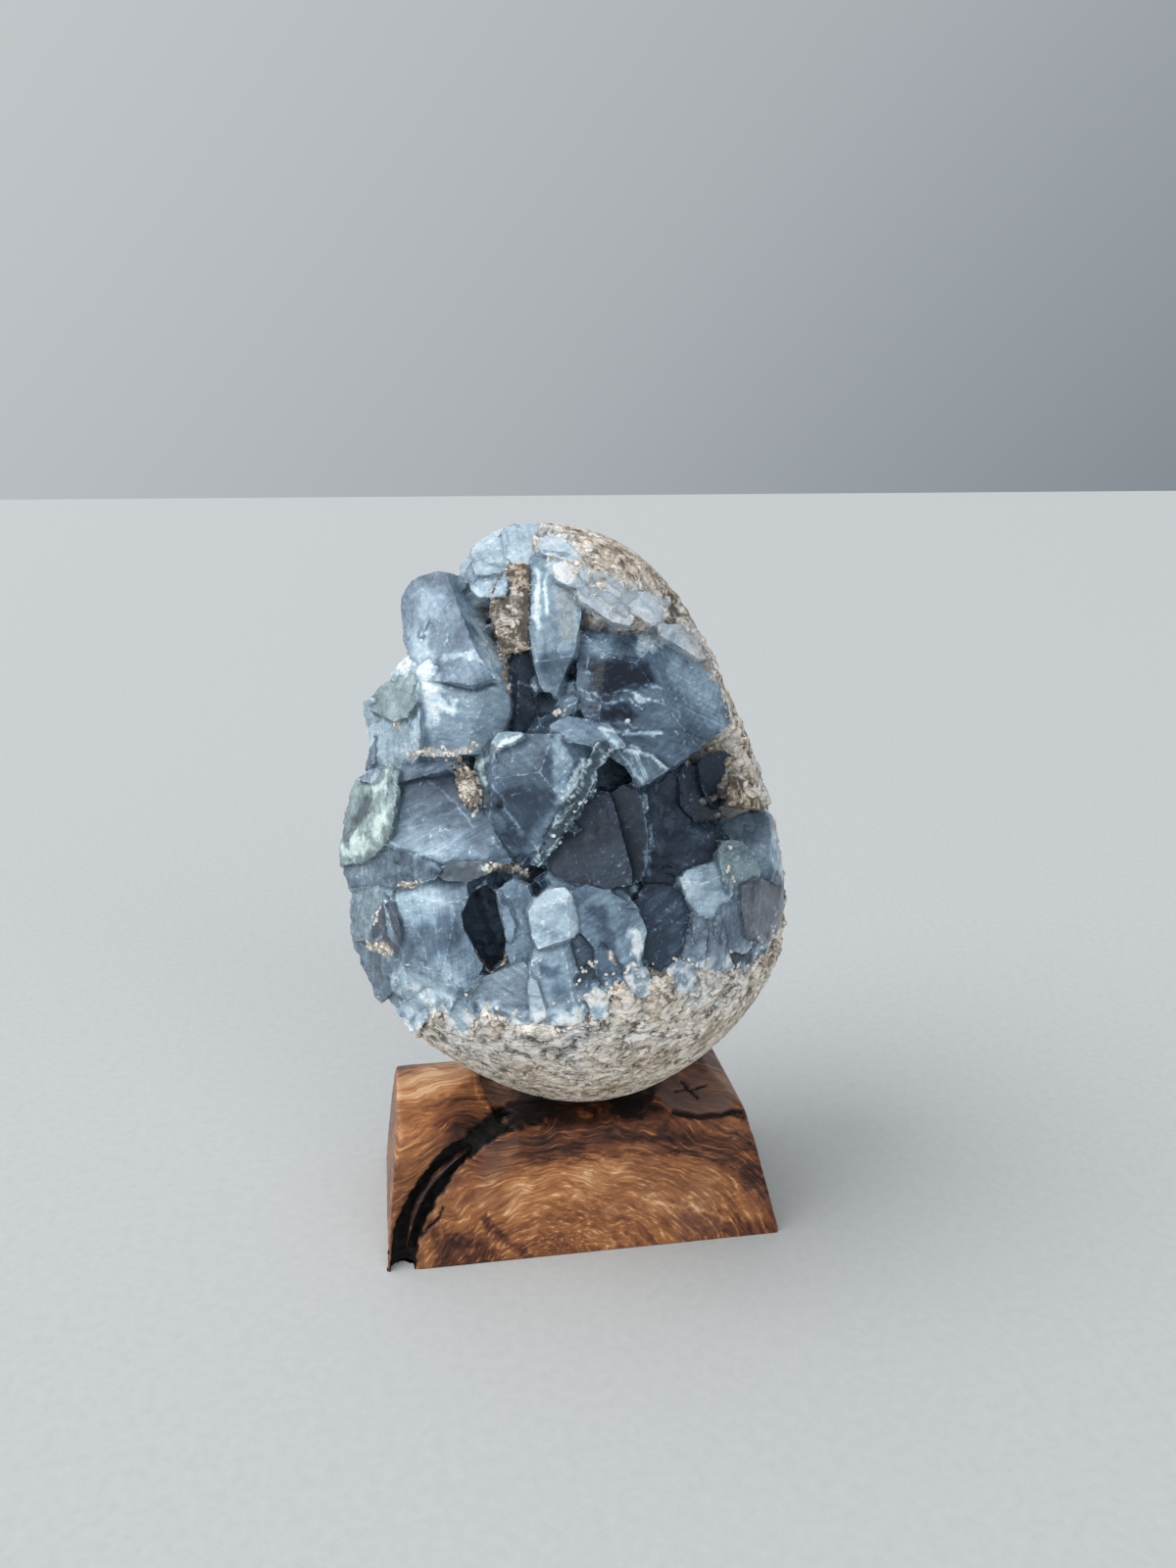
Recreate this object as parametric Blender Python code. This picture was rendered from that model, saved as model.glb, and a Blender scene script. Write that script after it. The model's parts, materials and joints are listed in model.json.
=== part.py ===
"""A celestite cluster ground to an egg, standing in the bored top of a hand-cut wooden stand.

Metres, +Z up. The stand's long side runs along X and its front faces -Y. The origin is on the
surface that the stand rests on, under the middle of the whole object.

Run it from Blender's text editor, or with blender --background --python part.py.
"""

import math

import bmesh
import bpy
from mathutils import Matrix, Vector
from mathutils.bvhtree import BVHTree

MM = 0.001

# The ground stone. It is a leaning egg, a little shallower from front to back than it is wide.
EGG_HEIGHT = 111.4 * MM
EGG_RADIUS = 40.7 * MM
EGG_TAPER = (0.31, 0.03, -0.33)
EGG_DEPTH_RATIO = 0.88
EGG_LEAN = -3.2 * MM
EGG_BOW = 0.5 * MM
EGG_MIDDLE_X = -1.8 * MM
EGG_BOTTOM = 24.2 * MM
FLAT_SPOT = 0.5 * MM
EGG_RINGS = 30
EGG_SIDES = 56

# The matrix, the rock that the crystals grew on. It fills the egg, and is cut back to a smaller egg,
# the bed, wherever the crystals line the front and the left side.
ROUGH_SCALE = 1.03
ROUGH_SHIFT = Vector((0.2, 0.1, -1.7)) * MM
BED_RADIUS_SCALE = 0.90
BED_HEIGHT_SCALE = 0.96
BED_SHIFT = Vector((2.5, 6.5, 1.0)) * MM

# The two cuts that open the front of the rock. Every corner is a pixel across, a pixel down, and how
# far the cut reaches past the egg's heart along the line of sight, in millimetres.
OPEN_FRONT = {
    "upper_left_opening": (
        (330, 480, 10), (543, 480, 6), (600, 640, 0), (600, 800, 0), (330, 800, 14),
    ),
    "main_opening": (
        (330, 640, 14), (598, 632, 0), (700, 641, -8), (840, 690, -10), (840, 960, -10),
        (745, 990, -10), (600, 1037, -10), (450, 1027, -2), (330, 1000, 12),
    ),
}
OPENING_REACH = 60.0 * MM

# The stand: a low block with leaning sides, a crowned top and one bored seat.
STAND_LENGTH = 76.0 * MM
STAND_DEPTH = 41.0 * MM
STAND_SHOULDER = 23.4 * MM
STAND_CROWN = 28.0 * MM
FRONT_LEAN = math.radians(13.6)
LEFT_LEAN = math.radians(6.5)
RIGHT_LEAN = math.radians(13.6)
RIGHT_CHAMFER_LEANS = (math.radians(34.0), math.radians(55.0))
RIGHT_CHAMFER_REACHES = (31.4 * MM, 31.0 * MM)
CROWN_STEPS = 12
SEAT_CENTRE_X = -0.6 * MM
SEAT_RADIUS = 18.0 * MM
SEAT_FLOOR = EGG_BOTTOM - 0.3 * MM
SEAT_SIDES = 48

# The bark crack, a natural split that runs from the front bottom edge up into the seat. Each stop is
# a place across the front, a height, and the half width of the split there.
CRACK_STOPS = (
    (-35.3, -1.0, 1.9),
    (-34.4, 6.0, 1.8),
    (-31.0, 13.0, 1.9),
    (-26.5, 18.5, 1.6),
    (-20.5, 23.0, 1.1),
    (-14.0, 25.6, 1.0),
    (-7.5, 26.6, 1.7),
)
CRACK_SINK = 0.3 * MM

# Where the photograph was taken from, in millimetres from the middle of the stand's front bottom
# edge, and how its 1200 x 1600 frame maps to directions. The crystals below are placed with it.
EYE = Vector((-32.0, -198.0, 150.2)) * MM
SIGHT_PITCH = math.radians(15.9)
SIGHT_TURN = math.radians(9.16)
FOCAL_PIXELS = 1250.0
FRAME_MIDDLE = (600.0, 800.0)

# The main crystals. Every corner is a pixel across, a pixel down, and how many millimetres it lies
# behind the ground skin along the line of sight. A corner in front of the skin is ground away.
CRYSTALS = {
    "upper_left_blade": (
        (407, 606, 5), (415, 593, 5), (447, 582, 5), (475, 588, 5), (484, 605, 4), (497, 635, 3),
        (514, 690, 3), (480, 700, 2), (430, 700, 3), (414, 668, 4), (463, 612, 1.5),
        (490, 655, 1.5), (430, 630, 2),
    ),
    "upper_left_heel": (
        (440, 672, 1), (475, 660, 0.5), (492, 666, 1), (508, 688, 1.5), (518, 706, 3),
        (510, 730, 4), (497, 757, 5), (478, 765, 4), (448, 772, 3), (425, 766, 3), (418, 740, 3),
        (428, 700, 2), (470, 710, -0.5),
    ),
    "left_shoulder": (
        (365, 728, 6), (372, 712, 6), (400, 690, 6), (420, 684, 4), (428, 705, 3), (420, 745, 4),
        (425, 768, 5), (400, 780, 6), (372, 784, 8), (371, 745, 7), (395, 730, 4),
    ),
    "top_left_crystal": (
        (470, 577, 4), (480, 560, 4), (507, 541, 4), (522, 537, 4), (516, 565, 2), (516, 590, 3),
        (500, 599, 4), (480, 600, 5), (468, 588, 5),
    ),
    "crown_crystal": (
        (512, 541, 4), (530, 531, 3), (562, 531, 2), (548, 545, 1), (541, 575, 1), (520, 576, 2),
        (513, 560, 3),
    ),
    "pale_blade": (
        (541, 576, 3), (552, 565, 2), (575, 572, 1), (590, 600, 1), (594, 625, 2), (588, 655, 2),
        (578, 680, 3), (566, 704, 6), (548, 690, 6), (541, 660, 4), (568, 620, 0.5),
    ),
    "dark_prism": (
        (515, 662, 7), (538, 657, 7), (544, 690, 7), (545, 738, 9), (532, 746, 9), (517, 733, 8),
        (516, 690, 7),
    ),
    "great_right_crystal": (
        (600, 634, 3), (640, 634, 1), (690, 640, -1), (722, 665, -1), (738, 705, -1),
        (745, 738, -1), (716, 760, -1), (680, 788, 0.5), (655, 800, 2), (640, 785, 3),
        (615, 760, 4), (600, 730, 4), (590, 690, 4), (690, 700, -2), (660, 740, -1),
    ),
    "centre_crystal": (
        (487, 770, 6), (503, 755, 5), (530, 747, 4), (562, 748, 4), (597, 755, 5), (606, 770, 5),
        (600, 795, 5), (580, 822, 6), (556, 855, 7), (530, 875, 8), (517, 862, 8), (503, 835, 7),
        (490, 822, 7), (487, 800, 6), (500, 797, 4), (560, 802, 3),
    ),
    "leaning_plate": (
        (612, 752, 3), (622, 757, 3), (622, 772, 4), (597, 815, 5), (565, 862, 6), (545, 886, 7),
        (537, 884, 7), (560, 848, 5), (590, 800, 4),
    ),
    "slate_face": (
        (578, 835, 8), (603, 805, 8), (622, 810, 7.5), (634, 868, 6.5), (640, 900, 6), (600, 912, 5.5),
        (563, 895, 6), (557, 878, 7),
    ),
    "slate_side": (
        (622, 808, 8.5), (648, 800, 6), (655, 818, 6), (661, 850, 6), (660, 885, 6.5), (648, 902, 7),
        (634, 880, 7.5), (625, 840, 8),
    ),
    "left_face": (
        (398, 797, 4), (425, 786, 5), (462, 778, 5), (465, 800, 5), (485, 826, 5), (497, 848, 5),
        (512, 870, 6), (518, 878, 6), (480, 884, 5), (440, 886, 4), (400, 868, 3), (393, 845, 3),
        (395, 815, 3.5), (450, 840, 2.5),
    ),
    "sparkling_edge": (
        (372, 790, 6), (385, 783, 5), (400, 786, 4), (398, 810, 3), (394, 848, 2.5), (380, 868, 3),
        (358, 882, 5), (345, 874, 6), (350, 845, 5), (358, 812, 6),
    ),
    "lower_left_crystal": (
        (395, 912, 3), (432, 893, 3), (470, 905, 3), (466, 930, 3), (468, 948, 3), (482, 965, 3),
        (491, 985, 3), (480, 1010, 3), (455, 1022, 2), (420, 1020, 2), (397, 1012, 2),
        (402, 970, 2), (402, 940, 2), (440, 960, 0),
    ),
    "left_hip": (
        (352, 884, 6), (398, 888, 4), (396, 912, 4), (400, 940, 4), (382, 960, 4), (358, 958, 7),
        (360, 935, 7), (356, 912, 7),
    ),
    "left_foot": (
        (358, 960, 6), (382, 960, 4), (402, 975, 3), (400, 1010, 2), (388, 1022, 3),
        (372, 1003, 5), (362, 985, 6),
    ),
    "narrow_column": (
        (495, 925, 5), (502, 913, 5), (530, 925, 4), (545, 960, 4), (545, 990, 4), (535, 1005, 3),
        (517, 990, 4), (520, 958, 5), (508, 942, 6),
    ),
    "pale_knob": (
        (540, 928, 3), (556, 911, 2), (577, 910, 2), (585, 930, 1.5), (592, 950, 2), (578, 958, 2),
        (548, 968, 3), (541, 945, 2), (563, 935, 0.5),
    ),
    "clear_knob": (
        (545, 975, 3), (558, 961, 2), (577, 960, 2), (588, 1000, 1.5), (598, 1030, 1),
        (590, 1046, 0.5), (555, 1047, 0.5), (545, 1015, 1.5), (541, 990, 2.5), (566, 985, 0),
    ),
    "lilac_foot": (
        (512, 1012, 3), (525, 985, 4), (541, 992, 3), (548, 1020, 1), (555, 1045, 0.5),
        (510, 1052, 0.5), (488, 1035, 1), (475, 1020, 2.5), (495, 1002, 4),
    ),
    "stepped_plates": (
        (583, 912, 5), (620, 915, 5), (650, 927, 5), (658, 945, 5), (652, 985, 4),
        (640, 1003, 2.5), (605, 1000, 4), (590, 990, 4), (580, 957, 5), (592, 950, 4),
        (615, 930, 3.5), (630, 955, 3.5),
    ),
    "grey_tooth": (
        (703, 898, 4), (717, 887, 4), (735, 885, 4), (747, 880, 4), (752, 918, 3), (745, 930, 3),
        (720, 938, 4), (708, 925, 5),
    ),
    "lilac_prisms": (
        (690, 945, 5), (720, 938, 3.5), (742, 932, 3), (745, 970, 1.5), (742, 992, 1),
        (715, 1000, 1.5), (695, 1000, 2.5), (690, 970, 4),
    ),
    "right_slate": (
        (655, 930, 7), (700, 922, 7), (692, 990, 6), (672, 992, 6), (655, 975, 7), (658, 945, 7),
    ),
    "blue_rim_crystal": (
        (745, 832, 2), (752, 820, 2), (780, 831, 0), (795, 842, -1), (803, 865, -1),
        (800, 905, -1), (785, 895, 0.5), (765, 868, 2), (748, 856, 3),
    ),
    "plum_rim_crystal": (
        (770, 905, 1), (797, 905, -1), (799, 925, -1), (785, 955, -1), (765, 972, 0),
        (750, 972, 1), (738, 955, 1.5), (742, 932, 2), (755, 922, 2),
    ),
}

# The dark gaps between crystals: the same kind of outline, cut in as deep as the last value says.
PITS = {
    "right_cavity": (
        (652, 800, 17), (680, 788, 17), (697, 780, 16), (716, 761, 15), (742, 742, 13),
        (751, 758, 12), (744, 790, 13), (743, 840, 13), (741, 865, 13), (728, 885, 14),
        (704, 893, 15), (662, 883, 17), (660, 835, 17),
    ),
    "left_cavity": (
        (480, 905, 14), (496, 896, 14), (507, 905, 14), (500, 930, 14), (520, 960, 13),
        (518, 985, 13), (502, 999, 12), (490, 985, 12), (468, 948, 13), (466, 930, 14),
    ),
    "upper_cavity": (
        (546, 700, 14), (563, 706, 14), (565, 722, 14), (545, 738, 14), (541, 718, 14),
    ),
}

# Crystals that stand inside the right cavity, after it is cut.
CAVITY_CRYSTALS = {
    "cavity_roof": (
        (655, 800, 10), (695, 781, 9), (722, 758, 9), (738, 790, 9), (735, 825, 10),
        (700, 817, 12), (656, 814, 13),
    ),
    "cavity_floor": (
        (660, 884, 11), (690, 850, 14), (730, 850, 12), (738, 868, 9), (728, 885, 8),
        (702, 896, 8),
    ),
}

ROOT_DEPTH = 15.0 * MM
ROOT_TAPER = 0.82
CAVITY_ROOT_DEPTH = 10.0 * MM
PIT_MOUTH = 8.0 * MM

FINISHES = {
    "celestite_egg": ((0.33, 0.42, 0.50, 1.0), 0.32),
    "wood_stand": ((0.36, 0.17, 0.075, 1.0), 0.38),
}


def clear_scene():
    for item in list(bpy.data.objects):
        bpy.data.objects.remove(item, do_unlink=True)


def new_collection(name):
    group = bpy.data.collections.new(name)
    bpy.context.scene.collection.children.link(group)
    return group


def mesh_object(name, shape, group):
    """Turn a bmesh into a named object in a collection."""
    mesh = bpy.data.meshes.new(name)
    bmesh.ops.recalc_face_normals(shape, faces=shape.faces)
    shape.to_mesh(mesh)
    shape.free()
    item = bpy.data.objects.new(name, mesh)
    group.objects.link(item)
    return item


def finish(item):
    """Give a part its own Principled material."""
    colour, roughness = FINISHES[item.name]
    material = bpy.data.materials.new(item.name + "_finish")
    material.use_nodes = True
    shader = material.node_tree.nodes["Principled BSDF"]
    shader.inputs["Base Color"].default_value = colour
    shader.inputs["Roughness"].default_value = roughness
    shader.inputs["Metallic"].default_value = 0.0
    item.data.materials.clear()
    item.data.materials.append(material)


def combine(item, other, operation):
    """Join, cut or trim an object with another, and keep the result as its mesh."""
    step = item.modifiers.new(operation.lower(), "BOOLEAN")
    step.operation = operation
    step.object = other
    step.solver = "EXACT"
    graph = bpy.context.evaluated_depsgraph_get()
    result = bpy.data.meshes.new_from_object(item.evaluated_get(graph))
    item.modifiers.remove(step)
    item.data = result


def hide_guide(item):
    item.hide_render = True
    item.display_type = "WIRE"


def egg_shape(radius_scale=1.0, height_scale=1.0, shift=Vector()):
    """An egg: a turned profile, made shallower and leant to the left."""
    shape = bmesh.new()
    taper, fullness, shoulder = EGG_TAPER
    rings = []
    for ring in range(1, EGG_RINGS):
        turn = math.pi * ring / EGG_RINGS
        rise = -math.cos(turn)
        radius = EGG_RADIUS * radius_scale * math.sin(turn)
        radius *= 1 - taper * rise - fullness * rise**2 - shoulder * rise**3
        middle_x = EGG_MIDDLE_X + EGG_LEAN * rise + EGG_BOW * rise**2
        height = EGG_BOTTOM - FLAT_SPOT + EGG_HEIGHT * height_scale * (1 + rise) / 2
        loop = []
        for side in range(EGG_SIDES):
            angle = math.tau * side / EGG_SIDES
            across = middle_x + radius * math.cos(angle)
            back = STAND_DEPTH / 2 + radius * EGG_DEPTH_RATIO * math.sin(angle)
            loop.append(shape.verts.new(Vector((across, back, height)) + shift))
        rings.append(loop)
    for low, high in zip(rings, rings[1:]):
        for side in range(EGG_SIDES):
            after = (side + 1) % EGG_SIDES
            shape.faces.new((low[side], low[after], high[after], high[side]))
    shape.faces.new(rings[0][::-1])
    shape.faces.new(rings[-1])
    return shape


def cut_flat(shape, point, facing):
    """Cut away what lies on the facing side of a plane, and close the cut."""
    cut = bmesh.ops.bisect_plane(
        shape,
        geom=shape.verts[:] + shape.edges[:] + shape.faces[:],
        plane_co=point,
        plane_no=facing,
        clear_outer=True,
    )
    rim = [edge for edge in cut["geom_cut"] if isinstance(edge, bmesh.types.BMEdge)]
    bmesh.ops.contextual_create(shape, geom=rim)


def line_of_sight(across, down):
    """The direction in which a pixel of the photograph looks."""
    right = Vector((math.cos(SIGHT_TURN), -math.sin(SIGHT_TURN), 0))
    level = Vector((math.sin(SIGHT_TURN), math.cos(SIGHT_TURN), 0))
    ahead = level * math.cos(SIGHT_PITCH) - Vector((0, 0, math.sin(SIGHT_PITCH)))
    up = level * math.sin(SIGHT_PITCH) + Vector((0, 0, math.cos(SIGHT_PITCH)))
    along = ahead + right * (across - FRAME_MIDDLE[0]) / FOCAL_PIXELS
    along += up * (FRAME_MIDDLE[1] - down) / FOCAL_PIXELS
    return along.normalized()


def place_on_skin(skin, corner, heart):
    """The point that a corner names: on the egg's skin where its pixel looks, then moved back."""
    across, down, sink = corner
    along = line_of_sight(across, down)
    hit, _, _, _ = skin.ray_cast(EYE, along)
    if hit is None:
        hit = EYE + along * (heart - EYE).dot(along)
    return hit + along * sink * MM


def hull(points):
    """The convex body round some points."""
    shape = bmesh.new()
    for point in points:
        shape.verts.new(point)
    made = bmesh.ops.convex_hull(shape, input=shape.verts)
    spare = {item for item in made["geom_interior"] + made["geom_unused"]}
    loose = [item for item in spare if isinstance(item, bmesh.types.BMVert)]
    bmesh.ops.delete(shape, geom=loose, context="VERTS")
    return shape


def crystal_shape(skin, corners, heart, root_depth):
    """One crystal: its outer face at the corners, and its sides running in to a smaller root."""
    face = [place_on_skin(skin, corner, heart) for corner in corners]
    middle = sum(face, Vector()) / len(face)
    inward = (middle - EYE).normalized() + (heart - middle).normalized() * 0.6
    inward.normalize()
    root = [middle + (point - middle) * ROOT_TAPER + inward * root_depth for point in face]
    return hull(face + root)


def pit_shape(skin, corners, heart):
    """The body that cuts a dark gap, from well in front of the skin down to the gap's floor."""
    mouth = [place_on_skin(skin, (across, down, -PIT_MOUTH / MM), heart) for across, down, _ in corners]
    floor = [place_on_skin(skin, corner, heart) for corner in corners]
    middle = sum(floor, Vector()) / len(floor)
    floor = [middle + (point - middle) * 0.8 for point in floor]
    return hull(mouth + floor)


def opening_shape(outline, heart):
    """One cut that opens the front of the rock, from before the egg to some way past its heart."""
    heart_distance = (heart - EYE).length
    points = []
    for across, down, reach in outline:
        along = line_of_sight(across, down)
        points.append(EYE + along * (heart_distance - OPENING_REACH))
        points.append(EYE + along * (heart_distance + reach * MM))
    return hull(points)


def make_egg(parts, cutters):
    """Open the rock, grow the crystals on its bed, open the gaps, then grind all to the egg."""
    smooth = egg_shape()
    cut_flat(smooth, (0, 0, EGG_BOTTOM), (0, 0, -1))
    blank = mesh_object("ground_egg", smooth, cutters)
    egg = mesh_object("celestite_egg", egg_shape(ROUGH_SCALE, ROUGH_SCALE, ROUGH_SHIFT), parts)
    bed = egg_shape(BED_RADIUS_SCALE, BED_HEIGHT_SCALE, BED_SHIFT)
    skin = BVHTree.FromObject(blank, bpy.context.evaluated_depsgraph_get())
    heart = Vector((EGG_MIDDLE_X, STAND_DEPTH / 2, EGG_BOTTOM + EGG_HEIGHT * 0.45))

    for name, outline in OPEN_FRONT.items():
        combine(egg, mesh_object(name, opening_shape(outline, heart), cutters), "DIFFERENCE")
    combine(egg, mesh_object("crystal_bed", bed, cutters), "UNION")
    for name, corners in CRYSTALS.items():
        shape = crystal_shape(skin, corners, heart, ROOT_DEPTH)
        combine(egg, mesh_object(name, shape, cutters), "UNION")
    for name, corners in PITS.items():
        combine(egg, mesh_object(name, pit_shape(skin, corners, heart), cutters), "DIFFERENCE")
    for name, corners in CAVITY_CRYSTALS.items():
        shape = crystal_shape(skin, corners, heart, CAVITY_ROOT_DEPTH)
        combine(egg, mesh_object(name, shape, cutters), "UNION")
    combine(egg, blank, "INTERSECT")
    return egg


def crown_arc():
    """The stand's crowned top, an arc over the two shoulders: its radius and its half angle."""
    half_width = STAND_DEPTH / 2 - STAND_SHOULDER * math.tan(FRONT_LEAN)
    rise = STAND_CROWN - STAND_SHOULDER
    radius = (half_width**2 + rise**2) / (2 * rise)
    return radius, math.asin(half_width / radius)


def front_distance(height):
    """How far behind the front bottom edge the stand's front surface is at a height."""
    if height <= STAND_SHOULDER:
        return max(height, 0) * math.tan(FRONT_LEAN)
    radius, _ = crown_arc()
    drop = STAND_CROWN - min(height, STAND_CROWN)
    return STAND_DEPTH / 2 - math.sqrt(radius**2 - (radius - drop) ** 2)


def stand_shape():
    """The block: its end outline drawn along X, then its ends cut at their leans."""
    radius, half_angle = crown_arc()
    outline = [(0.0, 0.0)]
    for step in range(CROWN_STEPS + 1):
        angle = half_angle * (2 * step / CROWN_STEPS - 1)
        height = STAND_CROWN - radius * (1 - math.cos(angle))
        outline.append((STAND_DEPTH / 2 + radius * math.sin(angle), height))
    outline.append((STAND_DEPTH, 0.0))
    shape = bmesh.new()
    ends = []
    for across in (-STAND_LENGTH / 2, STAND_LENGTH / 2):
        ends.append([shape.verts.new((across, back, height)) for back, height in outline])
    for index in range(len(outline)):
        after = (index + 1) % len(outline)
        shape.faces.new((ends[0][index], ends[1][index], ends[1][after], ends[0][after]))
    shape.faces.new(ends[0][::-1])
    shape.faces.new(ends[1])

    half_length = STAND_LENGTH / 2
    cuts = [
        (Vector((-half_length, 0, 0)), Vector((-math.cos(LEFT_LEAN), 0, math.sin(LEFT_LEAN)))),
        (Vector((half_length, 0, 0)), Vector((math.cos(RIGHT_LEAN), 0, math.sin(RIGHT_LEAN)))),
    ]
    for lean, reach in zip(RIGHT_CHAMFER_LEANS, RIGHT_CHAMFER_REACHES):
        cuts.append((Vector((reach, 0, 25.0 * MM)), Vector((math.cos(lean), 0, math.sin(lean)))))
    for point, facing in cuts:
        cut_flat(shape, point, facing)
    return shape


def seat_shape():
    shape = bmesh.new()
    height = STAND_CROWN
    bmesh.ops.create_cone(
        shape,
        cap_ends=True,
        segments=SEAT_SIDES,
        radius1=SEAT_RADIUS,
        radius2=SEAT_RADIUS,
        depth=height,
        matrix=Matrix.Translation((SEAT_CENTRE_X, STAND_DEPTH / 2, SEAT_FLOOR + height / 2)),
    )
    return shape


def crack_object(cutters):
    """The body that cuts the bark crack: a tube of changing thickness along the front surface."""
    route = bpy.data.curves.new("bark_crack", "CURVE")
    route.dimensions = "3D"
    route.bevel_depth = 1.0 * MM
    route.bevel_resolution = 1
    route.use_fill_caps = True
    spline = route.splines.new("POLY")
    spline.points.add(len(CRACK_STOPS) - 1)
    for point, (across, height, half_width) in zip(spline.points, CRACK_STOPS):
        back = front_distance(height * MM) + CRACK_SINK
        point.co = (across * MM, back, height * MM, 1.0)
        point.radius = half_width
    tube = bpy.data.objects.new("bark_crack_route", route)
    cutters.objects.link(tube)
    graph = bpy.context.evaluated_depsgraph_get()
    shape = bmesh.new()
    solid = bpy.data.meshes.new_from_object(tube.evaluated_get(graph))
    shape.from_mesh(solid)
    bmesh.ops.remove_doubles(shape, verts=shape.verts, dist=0.001 * MM)
    bpy.data.objects.remove(tube, do_unlink=True)
    return mesh_object("bark_crack", shape, cutters)


def make_stand(parts, cutters):
    stand = mesh_object("wood_stand", stand_shape(), parts)
    combine(stand, mesh_object("seat_bore", seat_shape(), cutters), "DIFFERENCE")
    combine(stand, crack_object(cutters), "DIFFERENCE")
    return stand


def centre_on_origin(items):
    """Move everything so that the middle of the whole object is over the origin."""
    corners = [vertex.co for item in items if not item.hide_render for vertex in item.data.vertices]
    middle_x = (min(c.x for c in corners) + max(c.x for c in corners)) / 2
    middle_y = (min(c.y for c in corners) + max(c.y for c in corners)) / 2
    for item in items:
        item.data.transform(Matrix.Translation((-middle_x, -middle_y, 0)))


clear_scene()
part_group = new_collection("celestite_egg_on_stand")
cutter_group = new_collection("cutters")
egg_part = make_egg(part_group, cutter_group)
stand_part = make_stand(part_group, cutter_group)
for guide in cutter_group.objects:
    hide_guide(guide)
centre_on_origin([*part_group.objects, *cutter_group.objects])
for part in (egg_part, stand_part):
    finish(part)
stand_part.data.shade_smooth()
stand_part.data.set_sharp_from_angle(angle=math.radians(30.0))
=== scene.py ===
import json
import math

import bmesh
import bpy
import numpy as np
from mathutils import Matrix, Vector, noise
from mathutils.bvhtree import BVHTree
from mathutils.kdtree import KDTree

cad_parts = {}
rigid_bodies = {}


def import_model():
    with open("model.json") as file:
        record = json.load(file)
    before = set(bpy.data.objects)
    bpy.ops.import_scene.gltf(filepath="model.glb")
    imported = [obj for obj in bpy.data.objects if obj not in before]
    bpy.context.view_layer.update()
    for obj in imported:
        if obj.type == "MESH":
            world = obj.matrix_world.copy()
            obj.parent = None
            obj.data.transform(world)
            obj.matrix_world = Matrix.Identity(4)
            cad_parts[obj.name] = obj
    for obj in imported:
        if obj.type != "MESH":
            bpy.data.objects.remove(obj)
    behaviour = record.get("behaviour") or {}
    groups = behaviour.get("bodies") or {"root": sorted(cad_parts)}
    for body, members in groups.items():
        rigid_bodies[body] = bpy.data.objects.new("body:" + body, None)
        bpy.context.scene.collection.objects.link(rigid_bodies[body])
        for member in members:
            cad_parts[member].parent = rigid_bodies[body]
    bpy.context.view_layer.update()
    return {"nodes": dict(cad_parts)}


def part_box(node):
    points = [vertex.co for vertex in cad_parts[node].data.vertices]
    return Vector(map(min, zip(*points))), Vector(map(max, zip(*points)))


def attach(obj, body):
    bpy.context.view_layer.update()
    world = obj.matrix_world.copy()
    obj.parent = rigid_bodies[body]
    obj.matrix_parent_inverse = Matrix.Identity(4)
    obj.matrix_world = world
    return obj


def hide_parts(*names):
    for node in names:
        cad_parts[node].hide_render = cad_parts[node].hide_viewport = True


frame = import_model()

MM = 0.001

# ---------------------------------------------------------------------------
# The rock that the crystals grew on: a cream celestite and lime matrix, sawn and ground to a leaning
# egg. Its front and left side are open, down to the bed that the crystals stand on.

stand_low, stand_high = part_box("wood_stand")
front_edge = Vector(((stand_low.x + stand_high.x) / 2, stand_low.y, 0.0))

EGG_HEIGHT = 111.4 * MM
EGG_RADIUS = 40.7 * MM
EGG_TAPER, EGG_FULLNESS, EGG_SHOULDER = 0.31, 0.03, -0.33
EGG_DEPTH_RATIO = 0.88
EGG_LEAN, EGG_BOW = -3.2 * MM, 0.5 * MM
EGG_MIDDLE = front_edge + Vector((-1.8, 20.5, 0.0)) * MM
EGG_BOTTOM = 24.2 * MM
FOOT_SLIMMING, FOOT_SHIFT = 0.045, 0.8 * MM
FOOT_START, FOOT_END = -0.40, -0.90
FLAT_SPOT = 0.5 * MM

# Where the photograph was taken from, and how its 1200 x 1600 frame maps to directions.
EYE = np.array(front_edge + Vector((-32.0, -198.0, 150.2)) * MM)
SIGHT_TURN, SIGHT_PITCH = math.radians(9.16), math.radians(15.9)
FOCAL_PIXELS = 1250.0
AHEAD = np.array((
    math.sin(SIGHT_TURN) * math.cos(SIGHT_PITCH),
    math.cos(SIGHT_TURN) * math.cos(SIGHT_PITCH),
    -math.sin(SIGHT_PITCH)))
RIGHT = np.array((math.cos(SIGHT_TURN), -math.sin(SIGHT_TURN), 0.0))
UP = np.cross(RIGHT, AHEAD)
HEART_RISE = 0.45
HEART = np.array(EGG_MIDDLE) + (0, 0, EGG_BOTTOM + EGG_HEIGHT * HEART_RISE)
FRAME_MIDDLE = (600, 800)
FAR = 1e9

# The edge of the opening, as pixels of the photograph, and how far past the egg's heart it reaches
# along the line of sight, from its left end to its right.
OPENING = (
    (250, 480), (520, 480), (552, 534), (543, 548), (562, 567), (576, 578), (584, 592), (601, 612),
    (622, 626), (652, 634), (688, 631), (706, 652), (722, 676), (733, 706), (742, 736), (756, 752),
    (764, 786), (760, 806), (780, 820), (860, 830), (860, 950), (792, 962), (768, 990), (742, 992),
    (716, 990), (712, 1008), (698, 1014), (690, 998), (668, 1002), (664, 1016), (652, 1016), (644, 1002),
    (624, 1014), (618, 1038), (606, 1042), (600, 1024), (592, 1046), (522, 1046), (496, 1034), (482, 1046),
    (468, 1056), (456, 1048), (446, 1032), (430, 1052), (414, 1050), (380, 1060), (250, 1060),
)
OPENING_REACH = ((350, 15.0), (430, 11.0), (600, 3.0), (760, 0.0), (800, 2.0))
BED_DEPTH = 10.5 * MM


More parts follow.
